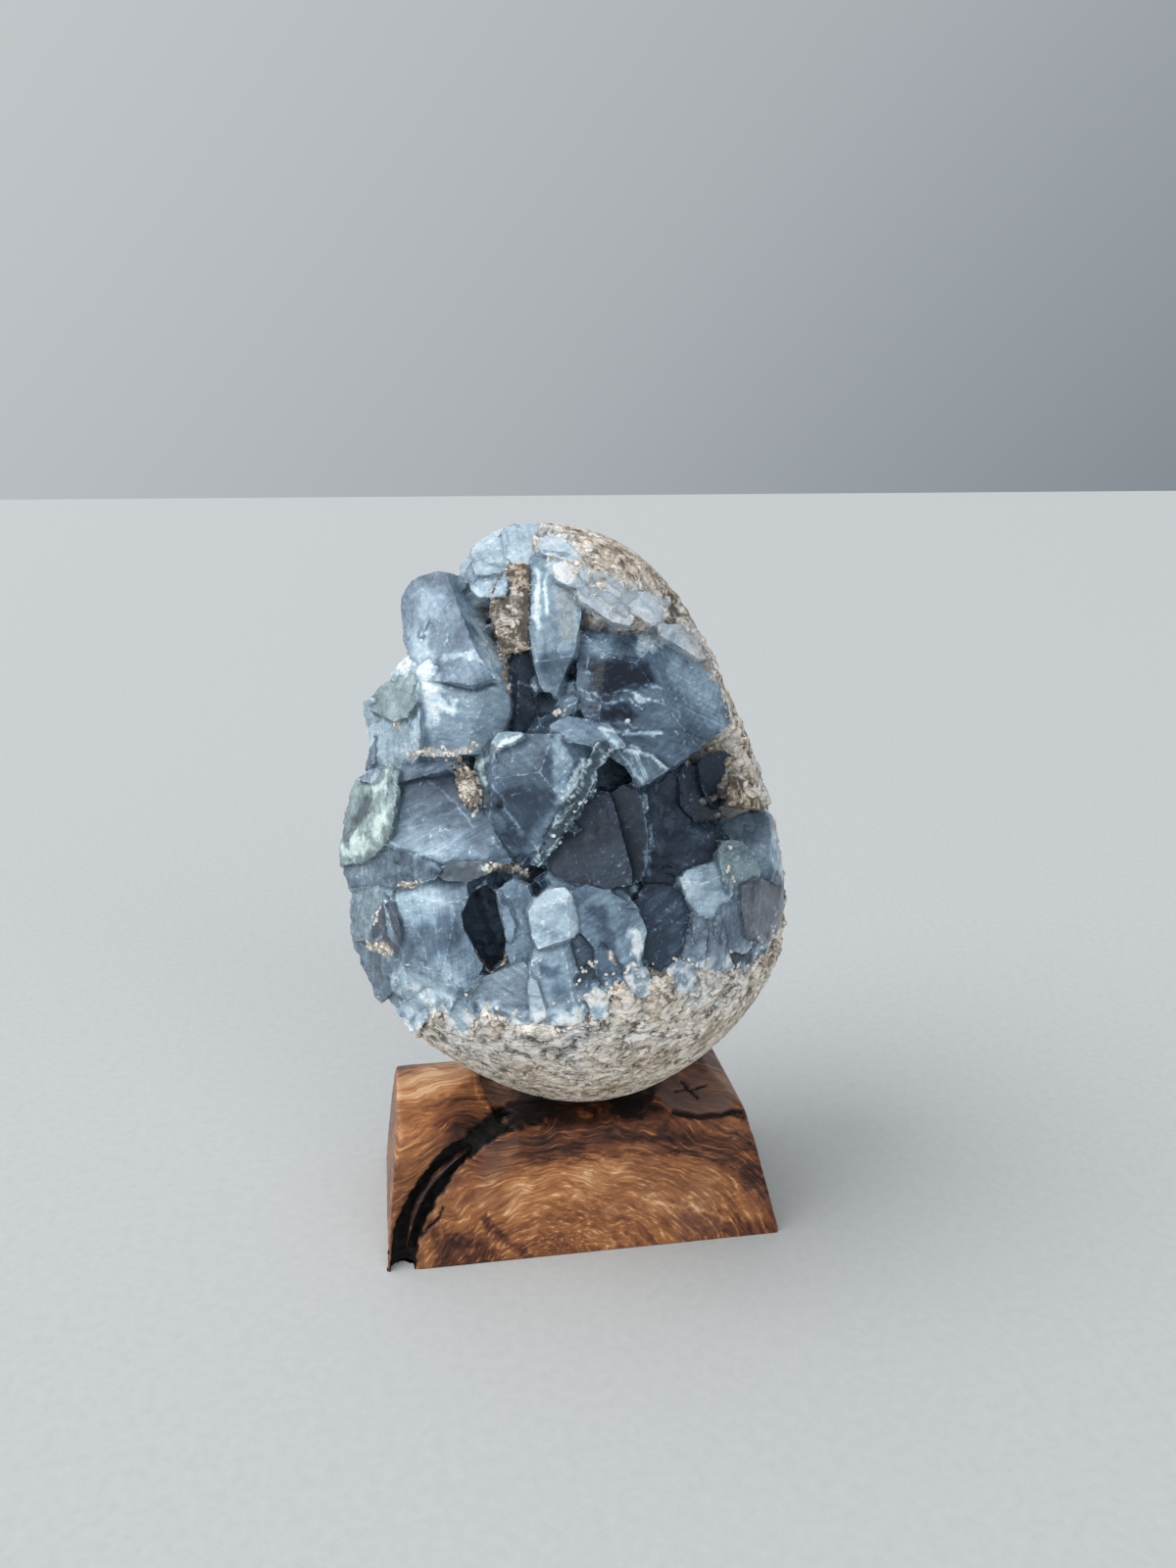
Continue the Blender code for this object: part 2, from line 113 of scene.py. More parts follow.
def smooth_step(low, high, value):
    share = np.clip((value - low) / (high - low), 0, 1)
    return share * share * (3 - 2 * share)


def egg_points(rise, angle, grow=0.0):
    """Points on the egg, or outside it where it is grown: rise goes from -1 at the bottom to 1 at the top,
    and angle round it."""
    radius = EGG_RADIUS * np.sqrt(np.maximum(1 - rise**2, 0))
    foot = smooth_step(FOOT_START, FOOT_END, rise)
    outline = 1 - EGG_TAPER * rise - EGG_FULLNESS * rise**2 - EGG_SHOULDER * rise**3
    radius = radius * (outline - FOOT_SLIMMING * foot)
    x = EGG_MIDDLE.x + EGG_LEAN * rise + EGG_BOW * rise**2 + FOOT_SHIFT * foot + (radius + grow) * np.cos(angle)
    y = EGG_MIDDLE.y + (radius * EGG_DEPTH_RATIO + grow) * np.sin(angle)
    z = EGG_BOTTOM - FLAT_SPOT + EGG_HEIGHT * (1 + rise) / 2 + grow * rise
    return np.stack([x, y, np.maximum(z, EGG_BOTTOM) + 0 * angle], -1)


def egg_mesh(name, rings, sides, grow=0.0):
    """A closed egg of quads with a small cap of triangles at each end. Growth may depend on the angle."""
    rise = -np.cos(np.linspace(0, math.pi, rings + 1)[1:-1])
    angle = np.arange(sides) * math.tau / sides
    if callable(grow):
        grow = grow(angle[None, :])
    grid = egg_points(rise[:, None], angle[None, :], grow).reshape(-1, 3)
    ends = egg_points(np.array([-1.0, 1.0]), np.zeros(2), np.mean(grow))
    low, high = len(grid), len(grid) + 1
    faces = []
    for ring in range(rings - 2):
        for side in range(sides):
            after = (side + 1) % sides
            a, b = ring * sides, (ring + 1) * sides
            faces.append((a + side, a + after, b + after, b + side))
    last = (rings - 2) * sides
    for side in range(sides):
        after = (side + 1) % sides
        faces.append((side, low, after))
        faces.append((last + side, last + after, high))
    mesh = bpy.data.meshes.new(name)
    mesh.from_pydata([*grid.tolist(), *ends.tolist()], [], faces)
    mesh.update()
    return mesh


def new_object(name, mesh):
    item = bpy.data.objects.new(name, mesh)
    bpy.context.scene.collection.objects.link(item)
    return item


def points_of(mesh):
    points = np.empty(len(mesh.vertices) * 3)
    mesh.vertices.foreach_get("co", points)
    return points.reshape(-1, 3)


def normals_of(mesh):
    normals = np.empty(len(mesh.vertices) * 3)
    mesh.vertex_normals.foreach_get("vector", normals)
    return normals.reshape(-1, 3)


def move_points(mesh, points):
    mesh.vertices.foreach_set("co", np.asarray(points, float).ravel())
    mesh.update()


def pixels_of(points):
    """Where the photograph shows some points: pixels across and down, and how far away they are."""
    along = points - EYE
    away = along @ AHEAD
    across = FRAME_MIDDLE[0] + FOCAL_PIXELS * (along @ RIGHT) / away
    down = FRAME_MIDDLE[1] - FOCAL_PIXELS * (along @ UP) / away
    return across, down, away


def from_line(across, down, start, end):
    """How far points are from a straight line between two places, and the share of it, from 0 to 1,
    that lies before the place nearest to each."""
    (x1, y1), (x2, y2) = start, end
    share = ((across - x1) * (x2 - x1) + (down - y1) * (y2 - y1)) / ((x2 - x1) ** 2 + (y2 - y1) ** 2)
    share = np.clip(share, 0, 1)
    return np.hypot(across - x1 - share * (x2 - x1), down - y1 - share * (y2 - y1)), share


def inside_outline(across, down, outline):
    """How many pixels each point is inside a closed outline, negative outside it."""
    corners = np.array(outline, float)
    nearest = np.full(across.shape, FAR)
    inside = np.zeros(across.shape, bool)
    for start, end in zip(corners, np.roll(corners, -1, 0)):
        nearest = np.minimum(nearest, from_line(across, down, start, end)[0])
        (x1, y1), (x2, y2) = start, end
        crosses = (y1 > down) != (y2 > down)
        with np.errstate(divide="ignore", invalid="ignore"):
            inside ^= crosses & (across < (x2 - x1) * (down - y1) / (y2 - y1) + x1)
    return np.where(inside, nearest, -nearest)


def open_distance(points):
    """How far each point is inside the opening of the rock, in metres, negative outside it."""
    across, down, away = pixels_of(points)
    within = inside_outline(across, down, OPENING) * away / FOCAL_PIXELS
    reach = np.interp(across, *zip(*OPENING_REACH)) * MM
    return np.minimum(within, reach - (away - (HEART - EYE) @ AHEAD))


def rough(points, size, seed=0.0, octaves=3):
    """Fractal noise from about -1 to 1, with lumps of a size in metres."""
    shift = Vector((seed * 3.1, seed * 1.7, seed * 5.3))
    return np.array([noise.fractal(Vector(p) / size + shift, 1.0, 2.0, octaves) for p in points])


def set_values(mesh, **layers):
    """Give the points of a mesh some named values."""
    for name, values in layers.items():
        layer = mesh.attributes.get(name) or mesh.attributes.new(name, "FLOAT", "POINT")
        layer.data.foreach_set("value", np.asarray(values, np.float32))


def route_distance(across, down, route):
    """How many pixels each point is from a line through some stops."""
    return np.min([from_line(across, down, start, end)[0] for start, end in zip(route, route[1:])], axis=0)


MARK_WOBBLE, MARK_LUMPS = 4.5, 2.6 * MM


def marks_on(points, normals, marks, wobble=1.0):
    """The strength of some marks at points that face the camera of the photograph. A mark is a strength,
    a softness in pixels and its outline, or a width and a line where the width is negative."""
    across, down, _ = pixels_of(points)
    sideways, up = (rough(points, MARK_LUMPS, seed, 4) * MARK_WOBBLE * wobble for seed in (9, 10))
    toward = EYE - points
    facing = smooth_step(0.0, 0.15, (normals * toward).sum(1) / np.linalg.norm(toward, axis=1))
    most, least = np.zeros(len(points)), np.zeros(len(points))
    for strength, soft, outline in marks:
        if soft < 0:
            mask = 1 - smooth_step(0.6, 1.4, route_distance(across + sideways, down + up, outline) / -soft)
        else:
            mask = smooth_step(-soft, soft, inside_outline(across + sideways * 2, down + up * 2, outline))
        most = np.maximum(most, mask * strength)
        least = np.minimum(least, mask * strength)
    return (most + least) * facing


# Grey crystal windows in the ground skin (positive) and broken notches in it (negative), which are sunk and darkened
# with painted shade.
ROCK_MARKS = (
    (0.9, 3, ((550, 552), (560, 547), (584, 552), (586, 566), (570, 568), (552, 566))),
    (0.8, 3, ((590, 574), (600, 571), (606, 580), (604, 592), (592, 590))),
    (0.9, 3, ((584, 598), (600, 596), (613, 603), (606, 612), (600, 628), (590, 620))),
    (0.45, 5, ((566, 584), (590, 588), (588, 598), (570, 596))),
    (0.5, 5, ((620, 586), (640, 585), (662, 596), (690, 622), (676, 634), (640, 618), (612, 602))),
    (0.6, 5, ((545, 536), (572, 536), (586, 550), (566, 562), (548, 562))),
    (0.6, 6, ((694, 626), (712, 640), (726, 668), (716, 664), (700, 644))),
    (0.5, 7, ((686, 1000), (712, 998), (738, 996), (720, 1022), (694, 1022))),
    (-1.0, 3, ((679, 604), (688, 600), (697, 612), (698, 630), (686, 628), (680, 616))),
    (-1.0, 2, ((744, 790), (756, 788), (759, 806), (748, 810))),
    (-0.8, 2, ((700, 654), (708, 652), (712, 664), (703, 668))),
)

ROCK_RINGS, ROCK_SIDES = 230, 320
RAGGED, BED_KNOBS = 1.0 * MM, 1.3 * MM
CRUST_WIDTH, CRUMB_BAND = 5 * MM, 1.1 * MM
# Depths and heights on the ground skin, in millimetres.
PIT_DEPTH, GROOVE_DEPTH, CRUST_HEIGHT, NOTCH_DEPTH, WINDOW_DEPTH = 0.8, 0.6, 0.75, 1.6, 0.5
LOW_SIDE = 85 * MM, 60 * MM

rock_mesh = egg_mesh("matrix_rock", ROCK_RINGS, ROCK_SIDES)
rock_points = points_of(rock_mesh)
rock_out = normals_of(rock_mesh)
opened = open_distance(rock_points)
ragged = rough(rock_points, 2.6 * MM, 1, 5) * RAGGED
sunk = smooth_step(-0.3 * MM, 1.1 * MM, opened + ragged)
knobs = rough(rock_points, 5 * MM, 2) * BED_KNOBS
lumps = rough(rock_points, 2.4 * MM, 3, 3)
fine_lumps = rough(rock_points, 1.2 * MM, 4, 2)
flakes = rough(rock_points * (1, 1, 2.8), 4 * MM, 5, 3)
crust = np.exp(-(np.minimum(opened, 0) / CRUST_WIDTH) ** 2)
rock_marks = marks_on(rock_points, rock_out, ROCK_MARKS)
windows, notches = np.clip(rock_marks, 0, 1), np.clip(-rock_marks, 0, 1)
pitting = np.clip(-lumps - 0.08, 0, 0.6) * (0.55 + 0.9 * crust) + np.clip(flakes - 0.2, 0, 1) * 0.3
groove_way = np.array((0.79, 0.0, -0.61))
along_grooves = np.outer(rock_points @ groove_way, groove_way) * 0.85
grooves = rough(rock_points - along_grooves, 1.7 * MM, 6, 3) * windows
crusting = crust * np.clip(lumps + fine_lumps * 0.5, 0, 1)
relief = (-PIT_DEPTH * pitting + GROOVE_DEPTH * grooves + crusting * CRUST_HEIGHT - NOTCH_DEPTH * notches
          - WINDOW_DEPTH * windows)
moved = rock_points + rock_out * (sunk * (-BED_DEPTH + knobs) + (1 - sunk) * relief * MM)[:, None]
moved[:, 2] = np.maximum(moved[:, 2], EGG_BOTTOM)
move_points(rock_mesh, moved)
low_side = smooth_step(*LOW_SIDE, rock_points[:, 2])
crumbs = np.exp(-((opened - 0.5 * MM) / CRUMB_BAND) ** 2) * (0.15 + low_side) * smooth_step(-0.3, 0.3, ragged / MM)
set_values(
    rock_mesh, bed=sunk, pit=np.clip(pitting * 2.6, 0, 1), crust=crust, window=windows, notch=notches, crumbs=crumbs)
rock_mesh.shade_smooth()
rock = new_object("matrix_rock", rock_mesh)


def set_stops(ramp, stops):
    """Give a colour ramp its stops, in order: places and colours."""
    while len(ramp.elements) < len(stops):
        ramp.elements.new(0.5)
    for element, (place, colour) in zip(ramp.elements, stops):
        element.position, element.color = place, (*colour, 1.0)


class Wire:
    """A socket that adds Math nodes to its material when an expression uses it."""
    def __init__(self, finish, socket):
        self.finish, self.socket = finish, socket

    def math(self, operation, *values, clamp=False):
        settings = {"operation": operation, "use_clamp": clamp}
        return self.finish.add("ShaderNodeMath", settings, dict(enumerate(values)))

    def __add__(self, other): return self.math("ADD", self, other)
    def __radd__(self, other): return self.math("ADD", other, self)
    def __sub__(self, other): return self.math("SUBTRACT", self, other)
    def __rsub__(self, other): return self.math("SUBTRACT", other, self)
    def __mul__(self, other): return self.math("MULTIPLY", self, other)
    def __rmul__(self, other): return self.math("MULTIPLY", other, self)
    def __abs__(self): return self.math("ABSOLUTE", self)
    def clamped(self): return self.math("ADD", self, 0.0, clamp=True)

    def step(self, low, high):
        return self.finish.add("ShaderNodeMapRange", {"interpolation_type": "SMOOTHSTEP"}, {
            "Value": self, "From Min": low, "From Max": high})


class Finish:
    """A material, and the nodes that are added to it."""
    def __init__(self, name):
        self.material = bpy.data.materials.new(name)
        self.material.use_nodes = True
        self.tree = self.material.node_tree
        self.tree.nodes.clear()
        self.place = self.add("ShaderNodeTexCoord", output="Object")

    def add(self, kind, settings=None, values=None, output=0):
        node = self.tree.nodes.new(kind)
        for name, value in (settings or {}).items():
            if name == "stops":
                set_stops(node.color_ramp, value)
            else:
                setattr(node, name, value)
        for name, value in (values or {}).items():
            socket = node.inputs[name]
            if isinstance(value, Wire):
                self.tree.links.new(value.socket, socket)
            else:
                socket.default_value = (*value, 1.0) if socket.type == "RGBA" and len(value) == 3 else value
        return Wire(self, node.outputs[output])

    def value_of(self, name):
        return self.add("ShaderNodeAttribute", {"attribute_name": name}, output="Fac")

    def noise(self, place, size, detail=4.0, roughness=0.55, output="Fac"):
        """Noise whose lumps are about a size in millimetres."""
        return self.add("ShaderNodeTexNoise", values={
            "Vector": place, "Scale": 1 / MM / size, "Detail": detail, "Roughness": roughness}, output=output)

    def vector(self, x=0.0, y=0.0, z=0.0):
        return self.add("ShaderNodeCombineXYZ", values={"X": x, "Y": y, "Z": z}, output="Vector")

    def moved(self, place, way):
        return self.add("ShaderNodeVectorMath", {"operation": "ADD"}, {0: place, 1: way}, output="Vector")

    def stretched(self, scale, turn=(0, 0, 0), middle=(0, 0, 0), place=None):
        return self.add("ShaderNodeMapping", {"vector_type": "TEXTURE"}, {
            "Vector": place or self.place, "Location": middle, "Rotation": turn, "Scale": scale}, output="Vector")

    def bent(self, place, size, reach):
        """A place moved by up to half a reach in millimetres, in waves of a size."""
        wave = self.noise(place, size, 2.0, output="Color")
        far = self.add("ShaderNodeVectorMath", {"operation": "MULTIPLY_ADD"}, {
            0: wave, 1: (reach * MM,) * 3, 2: place}, output="Vector")
        return self.moved(far, (-reach * MM / 2,) * 3)

    def ramp(self, value, *stops):
        return self.add("ShaderNodeValToRGB", {"stops": stops}, {"Fac": value}, output="Color")

    def blend(self, share, first, second):
        return self.add("ShaderNodeMix", {"data_type": "RGBA"}, {
            "Factor": share, "A": first, "B": second}, output="Result")

    def bump(self, height, distance, strength=1.0):
        return self.add("ShaderNodeBump", values={
            "Height": height, "Distance": distance * MM, "Strength": strength}, output="Normal")

    def surface(self, shader, volume=None):
        out = self.tree.nodes.new("ShaderNodeOutputMaterial")
        self.tree.links.new(shader.socket, out.inputs["Surface"])
        if volume:
            self.tree.links.new(volume.socket, out.inputs["Volume"])


cream = Finish("cream_matrix")
bed, pit, crusted = cream.value_of("bed"), cream.value_of("pit"), cream.value_of("crust")
window, notch, unground = cream.value_of("window"), cream.value_of("notch"), cream.value_of("unground")
curly = cream.bent(cream.place, 3.5, 2.6)
mottle = cream.noise(cream.place, 13.0, 4.0, 0.6)
grain = cream.noise(curly, 1.5, 8.0, 0.72)
curls = 1 - abs(cream.noise(curly, 3.0, 4.0, 0.6) - 0.5).step(0.0, 0.045)
flaky = 1 - abs(cream.noise(cream.stretched((1.0, 1.0, 0.28), place=curly), 4.2, 4.0, 0.6) - 0.52).step(0.0, 0.04)
streaks = cream.noise(cream.stretched((0.16, 1.0, 1.0), turn=(0, math.radians(52), 0), place=curly), 1.7, 5.0, 0.6)
tone = grain * 1.05 + (mottle - 0.5) * 1.1 + (streaks - 0.5) * 0.5 + crusted * 0.05 - unground * 0.20 - 0.075
skin = cream.ramp(tone, (0.18, (0.17, 0.12, 0.08)), (0.32, (0.47, 0.39, 0.30)), (0.42, (0.72, 0.63, 0.52)),
                  (0.52, (0.90, 0.805, 0.685)), (0.66, (1.0, 0.955, 0.885)))
greyed = cream.blend((mottle.step(0.52, 0.68) * 0.4).clamped(), skin, (0.42, 0.43, 0.45))
# The curly and flaky lines are the rock's own dark veins; the darkening of pits, notches and creases, and of the slot
# on the bits, is painted shade.
crevice = (curls * grain.step(0.62, 0.40) * 0.75 + flaky * 0.45 * mottle.step(0.35, 0.6) + pit * 0.55 + notch
           + unground * grain.step(0.50, 0.42) * 0.6).clamped()
crevice_shaded = cream.blend(crevice, greyed, (0.085, 0.07, 0.055))
glassy = cream.ramp(grain + (streaks - 0.5) * 0.9, (0.32, (0.20, 0.25, 0.29)), (0.48, (0.44, 0.50, 0.54)),
                    (0.64, (0.86, 0.88, 0.88)))
glassy_share = window + crusted * grain.step(0.50, 0.62) * 0.55 + crusted * (streaks - 0.5) * 0.8
patched = cream.blend(glassy_share.clamped(), crevice_shaded, glassy)
# The sunk bed is painted dark blue: the deeper crystals seen through the gaps, and painted shade in the cavities.
shaded_bed_colour = cream.ramp(grain, (0.35, (0.02, 0.03, 0.045)), (0.62, (0.06, 0.09, 0.13)), (0.75, (0.12, 0.16, 0.20)))
cream.surface(cream.add("ShaderNodeBsdfPrincipled", values={
    "Base Color": cream.blend(bed, patched, shaded_bed_colour),
    "Roughness": 0.62 - window * 0.25 - mottle * 0.1,
    "Normal": cream.bump(grain * 0.6 + streaks * 0.25 - crevice * 0.6, 0.35)}))
rock_mesh.materials.append(cream.material)
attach(rock, "root")
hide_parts("celestite_egg")

# ---------------------------------------------------------------------------
# The blue crystals: stout celestite prisms and blades grown together on the bed. Those that reached
# the outside were ground off flush with the egg, and the others ended in broken or natural faces.

# Each crystal has a cloudiness from 0 to 1, a tint from -1 (green) to 1 (plum), its outline in pixels of
# the photograph, and its faces. A face is three corners: pixels across and down, and how many
# millimetres it lies behind the ground skin there, along the line of sight.
CRYSTALS = {
    "upper_left_blade": (0.56, 0.0, (
        (407, 606), (415, 593), (425, 588), (447, 582), (475, 586), (484, 600), (497, 633), (514, 672), (514, 690),
        (480, 700), (430, 690), (412, 660), (409, 630)), (
        ((410, 610, 6.0), (462, 600, 2.5), (440, 680, 2.5)), ((463, 605, 2.5), (490, 655, 2.3), (514, 680, 6.0)))),
    "upper_left_heel": (0.76, 0.0, (
        (425, 680), (440, 669), (455, 663), (475, 660), (492, 666), (505, 680), (513, 692), (518, 706), (516, 722),
        (509, 740), (503, 755), (490, 762), (470, 766), (445, 768), (425, 768), (416, 745), (420, 705)), (
        ((440, 690, 1.2), (500, 690, 2.0), (470, 760, 3.5)), ((500, 700, 2.2), (518, 706, 4.5), (500, 757, 6.0)),
        ((432, 690, 1.5), (418, 740, 3.4), (445, 768, 4.2)), ((440, 672, 3.2), (490, 666, 3.0), (465, 680, 1.3)))),
    "shoulder_upper": (0.72, -0.7, (
        (372, 714), (389, 698), (402, 690), (414, 684), (424, 690), (424, 714), (412, 728), (395, 732), (378, 724)), (
        ((380, 716, 5.5), (418, 692, 3.4), (405, 728, 4.2)), ((385, 700, 6.0), (414, 685, 5.0), (400, 705, 4.0)))),
    "shoulder_left": (0.88, -0.3, (
        (366, 730), (370, 716), (380, 711), (393, 722), (395, 738), (385, 745), (372, 744)), (
        ((368, 722, 7.5), (392, 724, 4.6), (382, 743, 6.0)), ((370, 717, 8.0), (388, 714, 6.4), (380, 724, 5.8)))),
    "shoulder_lower": (0.85, -0.2, (
        (371, 744), (385, 738), (405, 724), (424, 720), (427, 745), (421, 768), (402, 779), (376, 782), (373, 765)), (
        ((374, 745, 7.5), (422, 730, 3.2), (410, 772, 4.4)), ((373, 760, 8.5), (378, 781, 8.5), (398, 758, 5.0)),
        ((376, 782, 7.0), (420, 770, 4.8), (398, 766, 4.6)))),
    "shoulder_crumb": (0.95, -0.2, (
        (398, 692), (404, 678), (414, 667), (421, 672), (420, 690)), (
        ((402, 685, 6.0), (419, 673, 5.0), (412, 692, 5.0)),)),
    "top_left_crystal": (0.98, -0.2, (
        (480, 558), (490, 549), (507, 541), (513, 537), (520, 540), (519, 560), (516, 574), (500, 580), (482, 580),
        (479, 570)), (
        ((482, 562, 5.0), (512, 542, 3.5), (500, 580, 3.0)), ((482, 575, 4.6), (500, 545, 4.6), (510, 560, 2.6)))),
    "top_step": (0.92, 0.0, (
        (474, 584), (480, 578), (500, 577), (514, 575), (517, 590), (514, 600), (500, 601), (484, 600), (476, 592)), (
        ((478, 582, 4.5), (512, 578, 2.6), (495, 601, 4.0)),)),
    "top_chip": (0.95, 0.0, (
        (469, 578), (473, 571), (479, 568), (484, 574), (481, 587), (470, 588)), (
        ((470, 578, 6.0), (483, 572, 4.6), (478, 588, 5.0)),)),
    "crown_crystal": (0.98, 0.0, (
        (512, 541), (520, 535), (530, 531), (548, 530), (562, 532), (556, 540), (548, 548), (543, 562), (541, 576),
        (530, 574), (520, 570), (514, 560)), (
        ((514, 545, 3.5), (550, 535, 2.0), (535, 575, 2.0)), ((516, 566, 3.0), (540, 576, 3.0), (530, 555, 1.4)))),
    "pale_blade": (0.80, -0.1, (
        (541, 572), (545, 566), (556, 566), (575, 570), (583, 583), (591, 603), (593, 625), (589, 652), (578, 676),
        (566, 702), (556, 700), (548, 690), (542, 665), (540, 620)), (
        ((545, 580, 2.5), (588, 600, 1.6), (565, 670, 3.0)), ((585, 590, 1.5), (593, 630, 3.4), (578, 680, 4.2)),
        ((545, 675, 3.3), (585, 660, 3.0), (566, 702, 7.5)), ((542, 600, 4.0), (543, 660, 4.4), (554, 620, 1.8)))),
    "dark_prism": (0.10, 0.0, (
        (513, 662), (525, 657), (540, 657), (545, 675), (548, 700), (548, 738), (532, 747), (516, 735), (514, 700)), (
        ((516, 665, 7.0), (530, 660, 6.0), (530, 745, 9.0)), ((530, 660, 6.0), (544, 670, 7.4), (540, 745, 10.0)))),
    "great_right_crystal": (0.46, 0.0, (
        (592, 650), (605, 632), (640, 633), (665, 633), (690, 640), (712, 655), (722, 665), (733, 690), (740, 705),
        (747, 738), (735, 748), (716, 761), (697, 777), (680, 789), (660, 771), (640, 763), (618, 742), (603, 735),
        (592, 705), (588, 680)), (
        ((650, 700, 0.6), (720, 662, -0.9), (705, 765, -0.2)), ((592, 690, 6.4), (602, 640, 4.2), (636, 705, 1.2)),
        ((598, 655, 4.0), (700, 640, 1.8), (650, 684, 0.8)), ((606, 735, 4.8), (680, 788, 3.8), (695, 722, 0.2)))),
    "teal_facet": (0.40, -0.2, (
        (618, 756), (640, 762), (667, 770), (686, 785), (670, 795), (655, 801), (645, 794), (634, 778)), (
        ((630, 765, 4.0), (684, 784, 2.4), (655, 800, 4.4)),)),
    "joining_vein": (0.70, 0.0, (
        (560, 738), (580, 731), (605, 737), (622, 738), (640, 760), (625, 762), (608, 757), (585, 748), (566, 748)), (
        ((565, 745, 5.2), (605, 738, 4.4), (625, 760, 3.6)),)),
    "slate_roof": (0.06, 0.0, (
        (606, 786), (622, 768), (640, 783), (654, 800), (640, 806), (608, 810)), (
        ((612, 785, 8.0), (648, 798, 8.0), (625, 808, 10.5)),)),
    "centre_crystal": (0.46, 0.0, (
        (487, 770), (503, 755), (530, 747), (562, 748), (597, 753), (606, 770), (600, 795), (580, 822), (556, 855),
        (545, 872), (530, 876), (517, 862), (503, 835), (490, 822), (486, 800)), (
        ((505, 758, 5.5), (560, 750, 4.6), (545, 798, 3.4)), ((500, 797, 4.3), (575, 800, 3.6), (535, 872, 8.5)),
        ((487, 775, 7.0), (503, 790, 4.3), (492, 825, 7.5)), ((563, 750, 4.4), (600, 757, 6.0), (572, 815, 4.6)))),
    "teal_sliver": (0.50, -0.6, (
        (484, 772), (492, 768), (502, 762), (500, 790), (498, 822), (486, 822), (483, 800)), (
        ((486, 775, 6.0), (500, 775, 5.2), (492, 822, 6.2)),)),
    "pale_wedge": (0.95, 0.0, (
        (500, 757), (506, 745), (520, 744), (534, 746), (524, 752), (508, 760)), (
        ((504, 757, 4.4), (530, 746, 4.4), (515, 757, 4.0)),)),
    "leaning_plate": (0.20, -0.5, (
        (609, 757), (620, 757), (622, 768), (601, 810), (566, 864), (549, 886), (541, 883), (560, 852), (592, 798)), (
        ((612, 757, 2.4), (622, 760, 2.4), (545, 884, 5.8)),)),
    "slate_face": (0.08, 0.0, (
        (570, 848), (603, 804), (622, 808), (632, 840), (638, 868), (646, 890), (645, 904), (620, 907), (600, 905),
        (575, 899), (558, 888), (556, 872)), (((580, 850, 8.0), (622, 815, 7.4), (600, 903, 5.6)),)),
    "slate_side": (0.02, 0.0, (
        (620, 812), (636, 798), (652, 800), (656, 818), (662, 850), (662, 880), (656, 900), (645, 903), (636, 875),
        (626, 840)), (((622, 830, 8.6), (655, 815, 5.8), (650, 900, 6.2)),)),
    "left_face": (0.52, 0.05, (
        (395, 797), (410, 790), (440, 782), (462, 778), (470, 800), (474, 815), (486, 826), (497, 848), (512, 870),
        (519, 881), (500, 887), (470, 884), (445, 884), (420, 874), (394, 864), (392, 840), (395, 815)), (
        ((398, 800, 4.0), (465, 785, 4.8), (450, 870, 2.9)), ((470, 805, 4.3), (516, 876, 6.6), (470, 884, 4.4)),
        ((400, 850, 3.2), (500, 884, 5.6), (430, 884, 4.6)))),
    "grey_ledge": (0.50, 0.1, (
        (396, 787), (410, 778), (425, 772), (445, 774), (464, 772), (468, 780), (445, 785), (415, 793), (398, 798)), (
        ((400, 786, 5.6), (462, 774, 5.2), (420, 792, 4.0)),)),
    "sparkling_edge": (0.62, -1.0, (
        (372, 790), (385, 782), (402, 784), (400, 810), (396, 848), (385, 864), (370, 876), (358, 883), (348, 883),
        (344, 874), (348, 850), (354, 825), (360, 800)), (
        ((375, 790, 6.5), (399, 800, 3.2), (385, 860, 3.0)), ((362, 800, 7.5), (346, 872, 7.5), (376, 835, 4.6)),
        ((346, 880, 6.8), (386, 862, 3.8), (372, 846, 4.0)), ((366, 792, 7.2), (400, 784, 4.8), (384, 806, 4.4)))),
    "sparkle_cap": (0.65, 0.3, (
        (366, 796), (372, 787), (384, 782), (382, 792), (372, 798)), (
        ((368, 794, 6.5), (384, 784, 5.0), (376, 798, 5.0)),)),
    "west_band": (0.52, -0.2, (
        (350, 886), (356, 880), (380, 872), (400, 866), (430, 878), (446, 887), (440, 897), (425, 903), (395, 910),
        (360, 908), (354, 896)), (
        ((355, 888, 7.5), (400, 876, 3.6), (400, 905, 3.6)), ((400, 876, 3.6), (440, 888, 3.4), (400, 906, 4.0)))),
    "lens_chip": (0.45, -0.4, (
        (440, 890), (458, 880), (484, 880), (500, 886), (497, 893), (480, 900), (455, 900)), (
        ((442, 890, 3.2), (497, 888, 5.0), (470, 900, 3.4)),)),
    "lower_left_crystal": (0.60, 0.0, (
        (391, 912), (402, 907), (420, 902), (436, 893), (452, 899), (470, 906), (467, 930), (470, 948), (483, 965),
        (492, 985), (484, 1005), (478, 1013), (460, 1023), (430, 1025), (410, 1020), (399, 1012), (401, 985),
        (401, 960), (400, 940), (394, 925)), (
        ((400, 920, 3.2), (466, 925, 2.4), (440, 1000, 0.9)), ((462, 930, 2.3), (491, 985, 3.6), (474, 1012, 2.0)),
        ((398, 908, 4.6), (466, 904, 4.4), (430, 932, 1.8)), ((400, 1010, 2.6), (474, 1020, 2.8), (440, 985, 1.0)),
        ((399, 960, 3.0), (402, 1000, 2.4), (414, 975, 1.4)))),
    "left_hip": (0.66, -0.4, (
        (357, 908), (375, 905), (394, 910), (396, 925), (382, 945), (382, 962), (360, 960), (358, 945), (361, 930)), (
        ((360, 915, 7.5), (393, 915, 4.0), (375, 955, 5.0)),)),
    "hip_facet": (0.30, 0.6, (
        (379, 945), (386, 930), (394, 922), (401, 940), (404, 958), (402, 974), (392, 970), (380, 962)), (
        ((382, 945, 4.2), (402, 945, 2.6), (395, 970, 3.2)),)),
    "left_foot": (0.55, -0.3, (
